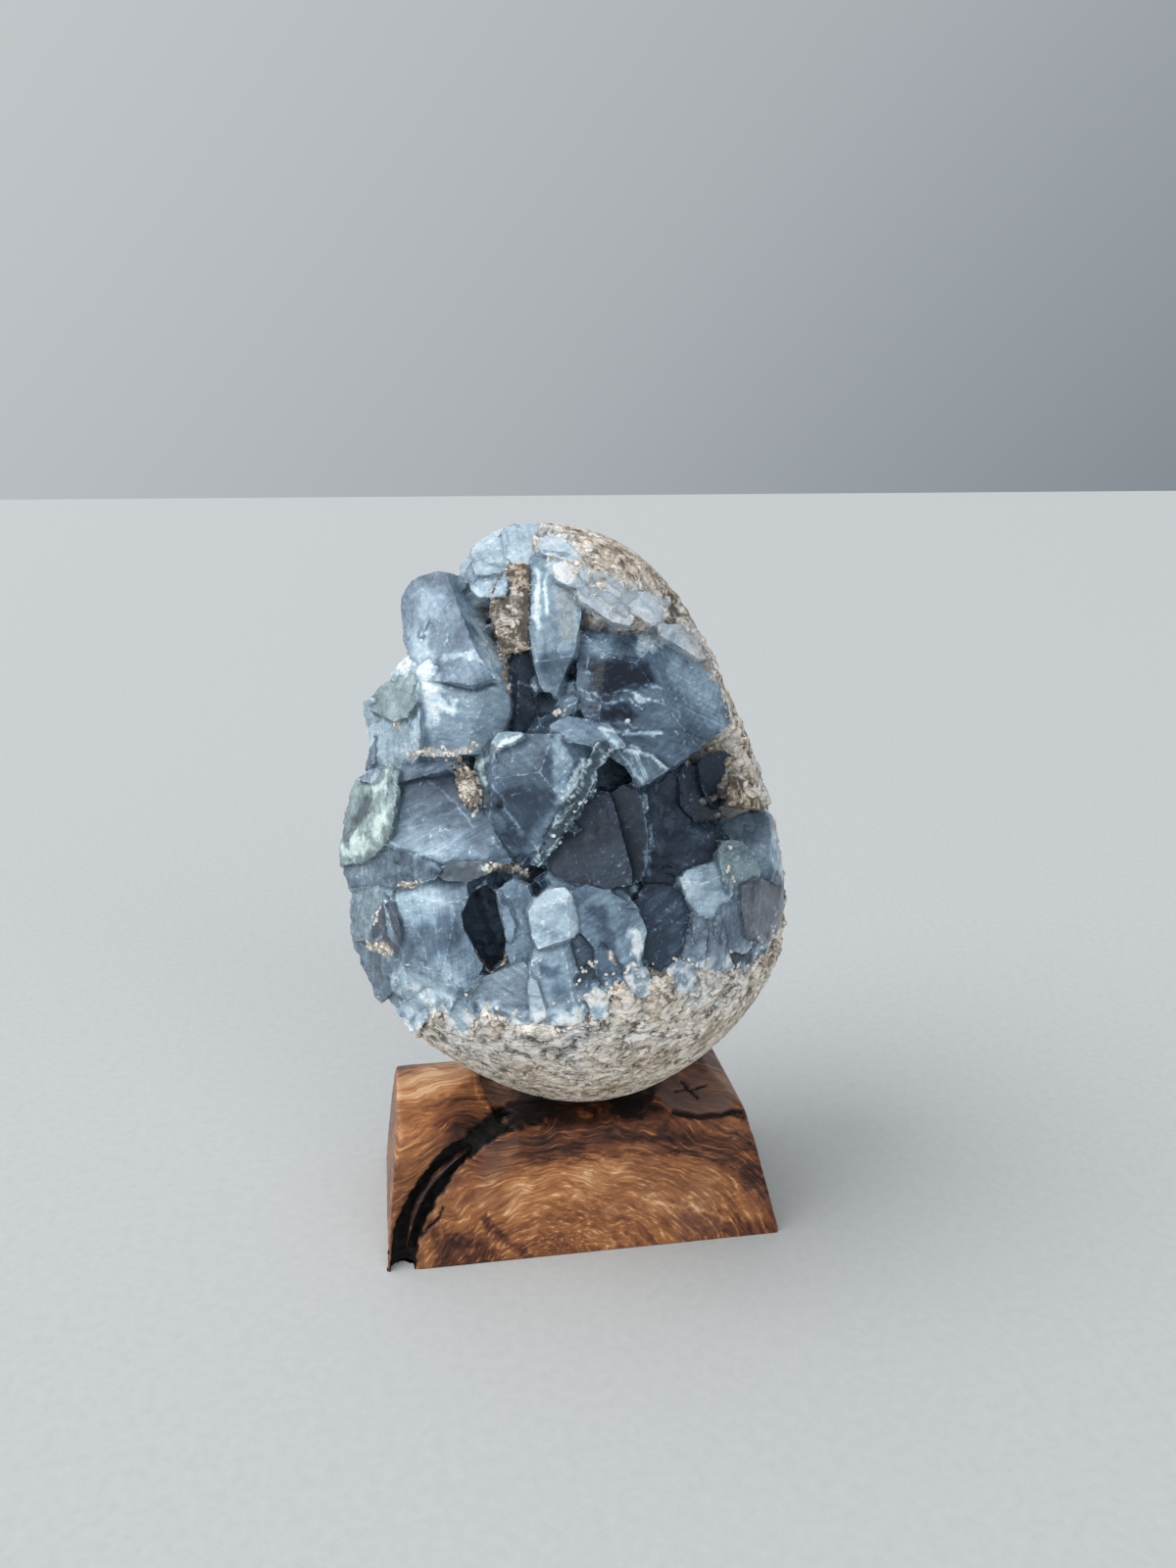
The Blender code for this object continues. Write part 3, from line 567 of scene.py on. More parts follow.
        (359, 960), (372, 956), (384, 960), (400, 972), (404, 985), (401, 1010), (390, 1023), (380, 1013), (372, 1004),
        (364, 990), (361, 975)), (
        ((363, 965, 6.5), (400, 978, 3.0), (385, 1000, 3.2)), ((362, 985, 6.0), (402, 985, 2.8), (390, 1021, 3.0)))),
    "foot_strip": (0.80, 0.0, (
        (388, 1021), (402, 1010), (430, 1020), (462, 1022), (458, 1032), (442, 1042), (425, 1049), (410, 1045),
        (398, 1034)), (((395, 1022, 2.0), (455, 1024, 0.6), (425, 1046, -0.2)),)),
    "narrow_column": (0.60, 0.0, (
        (505, 908), (520, 899), (537, 905), (547, 935), (547, 965), (545, 985), (537, 1002), (522, 990), (519, 965),
        (514, 945), (505, 935)), (
        ((507, 915, 5.2), (530, 905, 3.8), (528, 990, 3.0)), ((530, 905, 3.8), (546, 940, 4.6), (540, 995, 3.8)))),
    "column_lobe": (0.72, 0.0, (
        (500, 935), (508, 922), (518, 930), (524, 948), (521, 962), (510, 948)), (
        ((503, 935, 4.2), (520, 935, 3.2), (518, 958, 3.6)),)),
    "white_tip": (0.96, 0.0, (
        (493, 917), (499, 910), (507, 915), (508, 930), (503, 936), (496, 929)), (
        ((494, 918, 3.6), (507, 918, 3.0), (502, 935, 3.4)),)),
    "pale_knob": (1.05, 0.0, (
        (538, 930), (546, 918), (556, 911), (577, 909), (583, 915), (587, 932), (593, 948), (586, 957), (575, 958),
        (560, 960), (549, 969), (543, 955)), (
        ((543, 935, 2.6), (586, 930, 1.8), (565, 960, 1.6)), ((545, 920, 4.0), (580, 909, 3.4), (565, 927, 1.7)),
        ((580, 915, 2.6), (593, 948, 3.4), (578, 940, 1.4)))),
    "clear_knob": (0.76, 0.0, (
        (540, 985), (545, 972), (555, 962), (570, 958), (580, 960), (586, 985), (592, 1003), (599, 1028), (597, 1043),
        (580, 1048), (558, 1047), (548, 1020), (541, 1000)), (
        ((545, 985, 2.4), (583, 975, 1.8), (570, 1044, 0.3)), ((578, 965, 2.2), (599, 1035, 1.6), (575, 1010, 0.6)),
        ((546, 972, 3.6), (578, 960, 3.2), (562, 982, 1.6)))),
    "cream_wedge": (0.98, 0.2, (
        (539, 1003), (546, 1008), (552, 1028), (557, 1040), (546, 1048), (540, 1046), (541, 1020)), (
        ((541, 1006, 1.4), (555, 1040, 0.2), (541, 1045, 0.2)),)),
    "lilac_foot": (0.68, 0.3, (
        (511, 1007), (520, 993), (532, 989), (543, 1000), (543, 1020), (543, 1046), (525, 1052), (508, 1053),
        (495, 1046), (484, 1036), (476, 1023), (490, 1004), (500, 1000)), (
        ((480, 1020, 2.6), (512, 1000, 3.2), (510, 1050, 0.4)),
        ((512, 1002, 3.2), (541, 1000, 2.4), (525, 1050, 0.3)))),
    "stepped_plates": (0.68, 0.0, (
        (583, 912), (600, 905), (625, 912), (642, 921), (656, 935), (661, 950), (656, 975), (651, 990), (641, 1004),
        (625, 988), (610, 962), (592, 952), (585, 932)), (
        ((590, 918, 4.2), (635, 920, 4.0), (612, 955, 2.8)), ((632, 925, 3.8), (659, 948, 4.6), (643, 998, 2.2)),
        ((600, 940, 3.0), (634, 945, 3.2), (632, 995, 2.6)))),
    "top_slab": (0.62, 0.0, (
        (556, 893), (575, 896), (606, 902), (642, 914), (654, 928), (640, 926), (610, 918), (583, 915), (566, 906)), (
        ((562, 897, 6.4), (640, 914, 5.6), (600, 920, 4.4)),)),
    "dark_step": (0.22, -0.1, (
        (578, 957), (600, 949), (618, 955), (614, 976), (601, 992), (588, 994), (583, 975)), (
        ((580, 960, 3.8), (616, 958, 3.4), (597, 992, 3.0)),)),
    "glint_step": (0.25, 0.0, (
        (588, 1004), (600, 994), (619, 994), (624, 1006), (617, 1022), (612, 1032), (598, 1023)), (
        ((590, 1004, 2.0), (606, 996, 2.4), (606, 1028, 1.0)), ((606, 996, 2.2), (622, 1004, 2.6), (612, 1030, 1.4)))),
    "grey_plate": (0.45, 0.0, (
        (608, 980), (618, 970), (630, 985), (644, 1003), (632, 1016), (616, 1022), (610, 1002)), (
        ((610, 982, 2.6), (642, 1002, 1.6), (616, 1020, 1.2)),)),
    "dark_slate": (0.14, 0.0, (
        (654, 925), (665, 905), (690, 905), (706, 924), (703, 945), (692, 965), (690, 986), (681, 999), (670, 988),
        (655, 977), (651, 965)), (((656, 925, 7.0), (703, 930, 5.4), (680, 995, 2.4)),)),
    "upper_slate": (0.10, 0.0, (
        (658, 886), (690, 884), (703, 896), (707, 923), (690, 916), (662, 908)), (
        ((662, 888, 9.0), (702, 900, 7.6), (680, 915, 7.0)),)),
    "grey_tooth": (0.88, 0.1, (
        (702, 898), (710, 890), (720, 885), (736, 883), (743, 879), (748, 895), (749, 912), (741, 926), (735, 936),
        (722, 938), (712, 931), (706, 912)), (
        ((705, 902, 4.4), (745, 895, 2.8), (725, 935, 3.0)), ((704, 898, 5.6), (742, 881, 4.4), (722, 905, 3.2)))),
    "green_tooth": (0.56, -0.6, (
        (741, 862), (749, 856), (758, 859), (771, 873), (777, 890), (767, 911), (755, 922), (747, 903), (743, 880)), (
        ((744, 868, 2.8), (774, 885, 0.8), (754, 918, 2.2)),)),
    "lilac_prism": (0.58, 0.4, (
        (688, 968), (699, 946), (714, 937), (724, 939), (720, 965), (718, 990), (701, 999), (687, 999)), (
        ((692, 968, 4.4), (722, 945, 3.0), (702, 998, 1.4)),)),
    "mauve_prism": (0.60, 0.5, (
        (715, 940), (738, 937), (742, 960), (740, 985), (726, 998), (715, 992)), (
        ((717, 942, 3.4), (740, 945, 2.0), (726, 996, 1.0)),)),
    "edge_tooth_west": (0.92, 0.0, (
        (446, 1030), (458, 1022), (476, 1030), (482, 1046), (470, 1058), (454, 1050)), (
        ((448, 1032, 0.6), (478, 1034, 0.8), (464, 1056, 0.2)),)),
    "edge_tooth_middle": (0.95, 0.1, (
        (600, 1024), (612, 1014), (622, 1022), (620, 1040), (606, 1044)), (
        ((602, 1026, 0.8), (620, 1022, 0.9), (610, 1042, 0.2)),)),
    "edge_tooth_east": (0.90, 0.3, (
        (640, 1000), (652, 988), (664, 994), (668, 1012), (654, 1020), (642, 1014)), (
        ((642, 1002, 1.0), (664, 994, 1.2), (654, 1018, 0.3)),)),
    "edge_tooth_lilac": (0.85, 0.5, (
        (686, 998), (700, 984), (714, 990), (712, 1010), (696, 1018)), (
        ((688, 1000, 1.0), (712, 988, 1.0), (698, 1016, 0.2)),)),
    "edge_chip_left": (0.98, 0.1, (
        (408, 1038), (420, 1030), (432, 1040), (428, 1054), (414, 1052)), (
        ((410, 1040, 0.5), (430, 1038, 0.6), (420, 1054, 0.0)),)),
    "rose_chip": (0.90, 0.5, (
        (734, 985), (744, 974), (750, 985), (747, 1001), (735, 1003)), (
        ((736, 985, 1.4), (748, 985, 0.6), (740, 1001, 0.4)),)),
    "blue_rim_crystal": (0.56, -0.1, (
        (741, 832), (747, 821), (758, 816), (777, 828), (787, 830), (797, 842), (805, 865), (804, 890), (799, 904),
        (786, 895), (770, 876), (757, 861), (744, 853)), (
        ((744, 835, 2.6), (778, 828, 0.4), (770, 872, 1.0)), ((785, 832, -1.2), (803, 870, -1.2), (790, 895, -0.8)))),
    "plum_rim_crystal": (0.42, 1.0, (
        (766, 905), (780, 897), (800, 902), (801, 925), (795, 950), (787, 962), (768, 960), (765, 930)), (
        ((768, 910, 0.8), (798, 905, -1.0), (785, 955, -0.8)),)),
    "lilac_shield": (0.55, 0.3, (
        (737, 941), (745, 928), (755, 921), (767, 925), (770, 945), (768, 962), (761, 974), (745, 971), (738, 958)), (
        ((740, 942, 2.2), (768, 932, 0.4), (752, 972, 0.8)),)),
    "dark_foot": (0.18, 0.0, (
        (746, 974), (760, 970), (767, 962), (786, 964), (780, 979), (764, 998), (751, 992)), (
        ((750, 976, 2.0), (784, 966, 0.6), (760, 994, 0.8)),)),
}
# Crystals that ended in rough breaks instead of smooth faces.
BROKEN_CRYSTALS = (
    "shoulder_left", "shoulder_lower", "shoulder_crumb", "sparkling_edge", "sparkle_cap", "west_band", "left_hip",
    "left_foot", "foot_strip", "top_chip", "grey_tooth",
)
# Which way some cleavages step across: right and up in the photograph.
CLEAVAGE = {
    "great_right_crystal": (0.28, 0.96), "pale_blade": (1.0, 0.1), "upper_left_blade": (0.93, 0.36),
    "upper_left_heel": (0.3, 0.95), "centre_crystal": (0.75, 0.66), "left_face": (-0.45, 0.9),
    "lower_left_crystal": (1.0, 0.1), "stepped_plates": (-0.6, 0.8), "leaning_plate": (0.82, 0.57),
    "slate_face": (0.96, 0.2), "pale_knob": (0.4, 0.9), "clear_knob": (1.0, 0.2), "crown_crystal": (1.0, 0.0),
}
# How far the solids go in behind their faces, and how much they narrow there. Those of the gaps begin
# in front of the skin.
ROOT_DEPTH, BIT_DEPTH, INNER_DEPTH = 15 * MM, 6 * MM, 8 * MM
ROOT_TAPER = 0.86
GAP_MOUTH, GAP_TAPER = -8, 0.8

# The dark gaps, cut in as deep as the last values say, in millimetres behind the ground skin.
GAPS = (
    ((652, 802, 17), (680, 790, 17), (697, 780, 16), (716, 763, 15), (742, 744, 13), (751, 758, 12), (744, 790, 13),
     (742, 840, 13), (739, 865, 13), (728, 885, 14), (704, 893, 15), (664, 883, 17), (661, 835, 17)),
    ((480, 905, 14), (496, 896, 14), (507, 905, 14), (500, 930, 14), (520, 960, 13), (518, 985, 13), (502, 999, 12),
     (490, 985, 12), (470, 948, 13), (468, 930, 14)),
    ((548, 704, 13), (564, 706, 13), (567, 722, 13), (548, 738, 13)),
    ((606, 786, 12), (622, 770, 12), (640, 784, 12), (650, 800, 12), (610, 806, 12)),
    ((572, 840, 11), (596, 806, 10), (600, 800, 10), (580, 822, 10), (557, 852, 11), (540, 878, 11), (548, 876, 11)),
)

# White veils and frost inside the crystals and painted glints on them (positive), and clear dark windows in them,
# partly painted dark reflection (negative).
VEILS_GLINTS_AND_WINDOWS = (
    (0.35, 8, ((425, 600), (450, 598), (456, 612), (436, 645), (424, 640))),
    # Scratches and painted glints: white sparkles on the left of the upper left crystals.
    (0.55, 6, ((418, 640), (436, 650), (446, 700), (452, 735), (438, 740), (424, 700))),
    (0.9, 3, ((404, 668), (418, 667), (417, 686), (404, 690))),
    (0.6, 3, ((440, 708), (464, 716), (462, 728), (444, 724))),
    (0.5, -3, ((455, 671), (480, 667), (495, 676), (510, 696))),
    (0.7, 4, ((560, 568), (584, 572), (584, 590), (570, 594), (560, 586))),
    (0.6, -3, ((547, 580), (548, 640))),
    (0.6, -1.8, ((558, 585), (558, 625))),
    (0.75, 5, ((648, 640), (668, 636), (682, 652), (678, 668), (660, 664), (650, 668))),
    (0.5, 4, ((562, 750), (572, 748), (582, 775), (578, 815), (566, 818), (560, 785))),
    (1.0, -2.6, ((596, 774), (588, 792), (581, 806), (573, 818))),
    # The pale edges of the leaning plate, partly painted glints.
    (0.8, -1.3, ((610, 758), (592, 799), (559, 853), (542, 883))),
    (0.8, -1.3, ((622, 764), (602, 811), (566, 865), (549, 886))),
    # A painted glint line.
    (0.7, -2, ((503, 775), (512, 760), (530, 749))),
    # Frost and painted glints: white sparkles low on the left of the lower left crystal.
    (0.55, 3, ((397, 992), (412, 998), (410, 1014), (399, 1008))),
    (0.7, 3, ((416, 1000), (432, 1002), (430, 1012), (418, 1010))),
    (0.4, 8, ((400, 912), (440, 902), (462, 925), (440, 945), (408, 940))),
    (0.8, -2.5, ((640, 763), (654, 766), (667, 771), (682, 783))),
    (0.5, -2, ((617, 740), (633, 768), (645, 790), (655, 800))),
    # A painted glint on the great right crystal.
    (0.7, -1.6, ((646, 710), (658, 712), (668, 715))),
    (0.3, 10, ((690, 640), (730, 665), (742, 720), (735, 745), (700, 720), (682, 680))),
    (0.5, -3, ((658, 812), (663, 850), (660, 892))),
    (0.3, 8, ((410, 840), (470, 845), (500, 880), (440, 882), (405, 868))),
    (0.8, 3, ((640, 950), (658, 948), (660, 960), (648, 985))),
    # A painted glint on the glint step.
    (0.7, 3, ((600, 1003), (612, 1003), (612, 1025), (602, 1024))),
    (0.6, 4, ((790, 845), (800, 845), (804, 880), (798, 905), (792, 880))),
    (0.6, 3, ((374, 800), (384, 788), (399, 786), (397, 800), (384, 812))),
    (0.7, 3, ((348, 868), (366, 850), (378, 862), (356, 880))),
    (0.6, 3, ((384, 836), (396, 822), (396, 846), (386, 856))),
    (-0.5, 3, ((362, 820), (376, 808), (380, 830), (364, 846))),
    (0.6, 3, ((644, 904), (654, 903), (656, 912), (646, 912))),
    (0.6, -1.0, ((600, 712), (622, 716), (640, 714), (654, 720))),
    (0.4, 6, ((484, 604), (494, 622), (505, 650), (514, 676), (506, 692), (490, 664), (480, 630))),
    (0.4, 8, ((402, 985), (440, 990), (470, 982), (480, 1004), (440, 1020), (405, 1010))),
    (0.35, 6, ((592, 652), (640, 640), (652, 650), (640, 662), (600, 668))),
    (0.6, -1.3, ((622, 696), (640, 700), (660, 698), (672, 702))),
    (0.5, -1.3, ((520, 700), (530, 698), (544, 702))),
    (0.5, -1.3, ((420, 642), (430, 664), (444, 676))),
    (0.5, -1.6, ((494, 800), (488, 786), (498, 772))),
    (0.4, -1.4, ((436, 800), (452, 806), (466, 822), (482, 842))),
    (-0.5, 4, ((600, 925), (618, 924), (624, 940), (608, 944))),
    (-0.4, 5, ((560, 1000), (580, 1004), (588, 1020), (570, 1026))),
    (0.7, -1.4, ((612, 744), (640, 746), (668, 752), (676, 748))),
    (0.5, -1.4, ((596, 730), (624, 736), (650, 742))),
    (0.5, -1.5, ((398, 860), (420, 872), (446, 874), (470, 866))),
    (0.4, -1.4, ((500, 800), (512, 812), (518, 832), (530, 852))),
    (0.5, -1.4, ((570, 770), (566, 790), (568, 806))),
    # Dark bands on the great right crystal: clear windows, partly a painted dark reflection where its face dips.
    (-0.9, 9, ((598, 676), (630, 670), (664, 684), (656, 702), (636, 708), (606, 706))),
    (-0.7, 5, ((598, 722), (630, 720), (646, 728), (642, 736), (606, 736))),
    (0.9, -0.9, ((602, 671), (600, 684), (598, 690))),
    (0.8, -0.9, ((596, 704), (612, 708), (632, 706), (650, 712), (666, 715))),
    (0.6, -0.8, ((598, 726), (616, 722), (640, 727))),
    (0.5, -0.8, ((604, 692), (618, 694), (640, 690))),
    (-0.3, 4, ((622, 640), (650, 638), (652, 660), (626, 662))),
    (-0.48, 5, ((546, 672), (570, 665), (588, 672), (574, 700), (556, 702))),
    (-0.2, 6, ((406, 794), (440, 786), (462, 794), (466, 812), (430, 808), (408, 818))),
    (-0.4, 8, ((500, 806), (560, 806), (556, 840), (530, 872), (512, 850))),
    (0.2, 5, ((470, 595), (484, 605), (500, 640), (510, 680), (495, 690), (480, 650))),
    (-0.48, 3, ((552, 984), (570, 984), (570, 1000), (554, 1002))),
    (-0.36, 3, ((440, 884), (495, 882), (494, 896), (450, 897))),
    (-0.3, 6, ((425, 925), (462, 925), (470, 960), (440, 985), (425, 960))),
    (-0.42, 4, ((600, 940), (628, 950), (634, 985), (612, 962))),
)
# Where lime crumbs lie in the seams, and tan stains, as marks again.
SEAM_CRUMBS = (
    (1.0, -2.6, ((420, 771), (440, 769), (456, 768), (472, 768), (488, 762))),
    (1.0, -3.5, ((452, 764), (458, 770))),
    (0.9, -2.4, ((405, 904), (414, 902), (425, 903))),
    (1.0, -3.4, ((379, 966), (388, 967), (397, 972))),
    (0.8, -1.6, ((380, 942), (386, 930), (392, 920))),
    (1.0, -2.6, ((492, 886), (500, 884), (510, 885))),
    (1.0, -2.0, ((532, 890), (539, 891))),
    (1.0, -3.0, ((566, 727), (573, 728))),
    (1.0, -3.2, ((622, 974), (627, 980))),
    (0.8, -2.2, ((470, 800), (478, 822), (486, 830))),
    (0.7, -2.4, ((640, 990), (646, 984), (652, 992), (662, 1000))),
    (0.7, -2.4, ((590, 1004), (598, 986), (610, 982))),
    (0.6, -2.0, ((742, 864), (744, 880), (748, 900))),
)
STAINS = (
    (0.75, -2.6, ((488, 617), (500, 632), (512, 665), (518, 705))),
    (0.3, 3, ((570, 602), (582, 602), (591, 626), (587, 652), (577, 656), (569, 632))),
    (0.7, -2.5, ((402, 739), (405, 742))),
    (0.6, 4, ((692, 640), (702, 640), (722, 668), (716, 672))),
    (0.6, -2.5, ((500, 887), (515, 884), (540, 893))),
    (0.7, -3.0, ((405, 904), (414, 902), (428, 903))),
    (0.8, -4.0, ((379, 966), (388, 967), (397, 972))),
    (0.7, -3.0, ((420, 770), (440, 768), (470, 767), (488, 762))),
    (0.8, -3.0, ((622, 974), (627, 980))),
    (0.5, -3, ((744, 745), (756, 765), (758, 790))),
)

# Bits of the cream matrix between the crystals, written as the crystals' outlines and faces are, and a darkened slot,
# which is painted shade, and a darker edge on one.
BIT_MARKS = (
    (1.0, -3.0, ((537, 604), (537, 630), (536, 652))),
    (0.5, 2, ((505, 604), (518, 596), (520, 604), (509, 640))),
)
MATRIX_BITS = {
    "speckled_patch": ((
        (500, 606), (507, 592), (517, 577), (530, 575), (541, 578), (542, 600), (541, 640), (541, 658), (526, 658),
        (514, 665), (506, 648), (499, 625)), (
        ((502, 606, 3.4), (528, 576, 2.2), (518, 652, 4.0)), ((532, 580, 2.6), (541, 600, 4.2), (534, 655, 5.0)))),
    "seam_lump": ((
        (459, 781), (466, 776), (473, 777), (481, 790), (486, 808), (485, 820), (479, 825), (470, 817), (465, 800)), (
        ((460, 780, 3.6), (484, 792, 4.0), (476, 826, 4.6)),)),
    "cavity_crumbs": (((486, 974), (497, 968), (512, 972), (514, 988), (502, 997), (490, 990)), (
        ((488, 975, 6.0), (512, 974, 6.0), (500, 996, 5.0)),)),
    "rim_crumbs": (((741, 800), (750, 790), (768, 800), (780, 826), (760, 818), (746, 822)), (
        ((744, 802, 1.6), (765, 802, 0.4), (755, 820, 1.4)),)),
}
# The crystals that stand inside a gap.
GAP_CRYSTALS = {
    "gap_roof": (0.04, 0.0, (
        (655, 800), (680, 788), (697, 780), (702, 818), (680, 818), (656, 816)), (
        ((656, 802, 12.0), (697, 783, 11.0), (680, 818, 13.5)),)),
    "gap_side": (0.06, 0.3, (
        (718, 772), (735, 765), (748, 770), (745, 800), (738, 824), (727, 815), (720, 795)), (
        ((722, 775, 9.0), (746, 775, 7.5), (735, 820, 9.5)),)),
    "gap_wall": (0.03, 0.2, (
        (698, 784), (720, 774), (728, 815), (738, 826), (720, 840), (700, 820)), (
        ((700, 790, 11.0), (725, 790, 10.0), (718, 838, 13.0)),)),
    "gap_floor": (0.08, 0.1, (
        (660, 884), (668, 850), (700, 830), (735, 845), (742, 862), (730, 886), (703, 896)), (
        ((664, 880, 10.0), (735, 868, 8.4), (700, 835, 14.5)),)),
}
# Blades in the rock of the cap that were ground flush with it, so their faces lie outside the skin.
CAP_BLADES = {
    "cap_crown_blade": (1.0, 0.3, (
        (546, 548), (556, 542), (572, 544), (590, 556), (596, 566), (586, 562), (566, 552), (550, 556)), (
        ((546, 548, -2.5), (590, 556, -2.5), (566, 560, -2.5)),)),
    "cap_white_ridge": (0.98, 0.35, (
        (562, 570), (572, 566), (584, 572), (596, 576), (602, 584), (596, 592), (582, 590), (566, 582)), (
        ((562, 568, -2.5), (602, 578, -2.5), (582, 594, -2.5)),)),
    "cap_long_blade": (1.16, 0.7, (
        (587, 594), (600, 590), (612, 590), (630, 604), (651, 626), (648, 632), (627, 627), (607, 611), (590, 602)), (
        ((587, 592, -2.5), (630, 600, -2.5), (640, 634, -2.5)),)),
    "cap_upper_blade": (1.10, 0.7, (
        (604, 574), (616, 578), (634, 590), (646, 602), (642, 608), (626, 598), (608, 584)), (
        ((604, 572, -2.5), (646, 600, -2.5), (620, 600, -2.5)),)),
    "cap_east_blade": (1.06, 0.6, (
        (632, 597), (656, 598), (686, 611), (680, 626), (668, 630), (652, 618), (634, 607)), (
        ((632, 597, -2.5), (686, 611, -2.5), (660, 632, -2.5)),)),
    "cap_side_blade": (1.02, 0.5, (
        (674, 632), (697, 633), (714, 648), (726, 668), (718, 668), (694, 648), (678, 640)), (
        ((674, 632, -2.5), (714, 640, -2.5), (700, 668, -2.5)),)),
}

# How far the crystals may stand past the egg, in millimetres: a little where they were ground, more on
# the left, and less for those that only fill up the bed.
GROUND_ROOM, UNGROUND_ROOM = 0.12, 3.6
FILLER_ROOM, FILLER_RETREAT, RETREAT_TURN = 0.1, 1.7, 0.6
LIMIT_RINGS, LIMIT_SIDES = 120, 180


def ground_room(angle):
    return (GROUND_ROOM + UNGROUND_ROOM * smooth_step(0.15, 0.75, -np.cos(angle))) * MM


def filler_room(angle):
    return (FILLER_ROOM - FILLER_RETREAT * smooth_step(0.2, 0.9, -np.cos(angle - RETREAT_TURN))) * MM


ground_mesh = egg_mesh("ground_egg", LIMIT_RINGS, LIMIT_SIDES, grow=ground_room)
filler_mesh = egg_mesh("filler_limit", LIMIT_RINGS, LIMIT_SIDES, grow=filler_room)
skin_mesh = egg_mesh("skin_egg", LIMIT_RINGS, LIMIT_SIDES)
ground_skin = BVHTree.FromPolygons(points_of(skin_mesh).tolist(), [tuple(f.vertices) for f in skin_mesh.polygons])
sight_heart = Vector(HEART)
eye = Vector(EYE)
MISSED_DEPTH = 6 * MM


def sight_line(across, down):
    right = RIGHT * (across - FRAME_MIDDLE[0]) / FOCAL_PIXELS
    up = UP * (FRAME_MIDDLE[1] - down) / FOCAL_PIXELS
    return Vector(AHEAD + right + up).normalized()


def corner_place(across, down, sink=0.0):
    """Where a pixel meets the ground skin, or passes closest to it, then moved back by a sink."""
    along = sight_line(across, down)
    hit = ground_skin.ray_cast(eye, along)[0]
    if hit is None:
        hit = eye + along * ((sight_heart - eye).dot(along) - MISSED_DEPTH)
    return hit + along * sink * MM


def solid_round(points):
    """The convex solid round some points, as a bmesh."""
    shape = bmesh.new()
    for point in points:
        shape.verts.new(point)
    made = bmesh.ops.convex_hull(shape, input=shape.verts)
    left = {*made["geom_interior"], *made["geom_unused"]}
    spare = [item for item in left if isinstance(item, bmesh.types.BMVert)]
    bmesh.ops.delete(shape, geom=spare, context="VERTS")
    bmesh.ops.recalc_face_normals(shape, faces=shape.faces)
    return shape


def store(name, shape, group):
    mesh = bpy.data.meshes.new(name)
    bmesh.ops.recalc_face_normals(shape, faces=shape.faces)
    shape.to_mesh(mesh)
    shape.free()
    item = bpy.data.objects.new(name, mesh)
    group.objects.link(item)
    return item


FRONT_SPARE = 5


def faced_crystal(outline, faces, depth=ROOT_DEPTH):
    """A solid behind an outline, cut to its faces, with sides that run in to a smaller root."""
    sinks = [corner[2] for face in faces for corner in face]
    front = [corner_place(across, down, min(sinks) - FRONT_SPARE) for across, down in outline]
    back = [corner_place(across, down, max(sinks)) for across, down in outline]
    middle = sum(back, Vector()) / len(back)
    inward = ((middle - eye).normalized() + (sight_heart - middle).normalized() * 0.6).normalized()
    root = [middle + (point - middle) * ROOT_TAPER + inward * depth for point in back]
    shape = solid_round(front + back + root)
    for face in faces:
        one, two, three = (corner_place(*corner) for corner in face)
        facing = (two - one).cross(three - one).normalized()
        if facing.dot(eye - one) < 0:
            facing.negate()
        whole = shape.verts[:] + shape.edges[:] + shape.faces[:]
        cut = bmesh.ops.bisect_plane(shape, geom=whole, plane_co=one, plane_no=facing, clear_outer=True)
        rim = [edge for edge in cut["geom_cut"] if isinstance(edge, bmesh.types.BMEdge)]
        if rim:
            bmesh.ops.contextual_create(shape, geom=rim)
    return shape


# Shares of a blocky crystal's width and length.
FOOT_WIDTH, SHOULDER_HEIGHT, TIP_WIDTH = 0.8, 0.72, 0.45


def blocky_crystal(foot, way, width, length):
    """A stout prism of 5 or 6 unequal sides with a slanting chisel end, as celestite grows."""
    way = way.normalized()
    side = way.orthogonal().normalized()
    other = way.cross(side)
    sides = chance.integers(5, 7)
    turn = chance.uniform(0, math.tau)
    flat = chance.uniform(0.55, 0.9)
    slope = side * chance.uniform(-0.5, 0.5) + other * chance.uniform(-0.5, 0.5)
    points = []
    for step in range(sides):
        angle = turn + math.tau * (step + chance.uniform(-0.2, 0.2)) / sides
        spoke = side * math.cos(angle) * width / 2 + other * math.sin(angle) * width / 2 * flat
        points.append(foot + spoke * FOOT_WIDTH)
        points.append(foot + spoke + way * (length * SHOULDER_HEIGHT + slope.dot(spoke)))
        points.append(foot + spoke * TIP_WIDTH + way * (length + slope.dot(spoke) * 0.6))
    return solid_round(points)


def finish_steps(item):
    """Turn an object's modifiers into its mesh."""
    result = bpy.data.meshes.new_from_object(item.evaluated_get(bpy.context.evaluated_depsgraph_get()))
    item.modifiers.clear()
    item.data = result
    return result


def add_step(item, kind, **settings):
    step = item.modifiers.new(kind.lower(), kind)
    for name, value in settings.items():
        setattr(step, name, value)
    return step


def combine(item, tools, operation):
    """Join an object with solids, or cut or trim it with them: one object, or a collection."""
    if isinstance(tools, bpy.types.Collection):
        given = {"operand_type": "COLLECTION", "collection": tools}
    else:
        given = {"object": tools}
    add_step(item, "BOOLEAN", operation=operation, solver="MANIFOLD", **given)
    finish_steps(item)


def new_group(name):
    group = bpy.data.collections.new(name)
    bpy.context.scene.collection.children.link(group)
    return group


chance = np.random.default_rng(11)
grown = new_group("grown")
cloudiness, tints, hulls = [], [], []


def grow(name, cloudy, tint, shape, group):
    hulls.append(store(name, shape, group))
    cloudiness.append(cloudy)
    tints.append(tint)


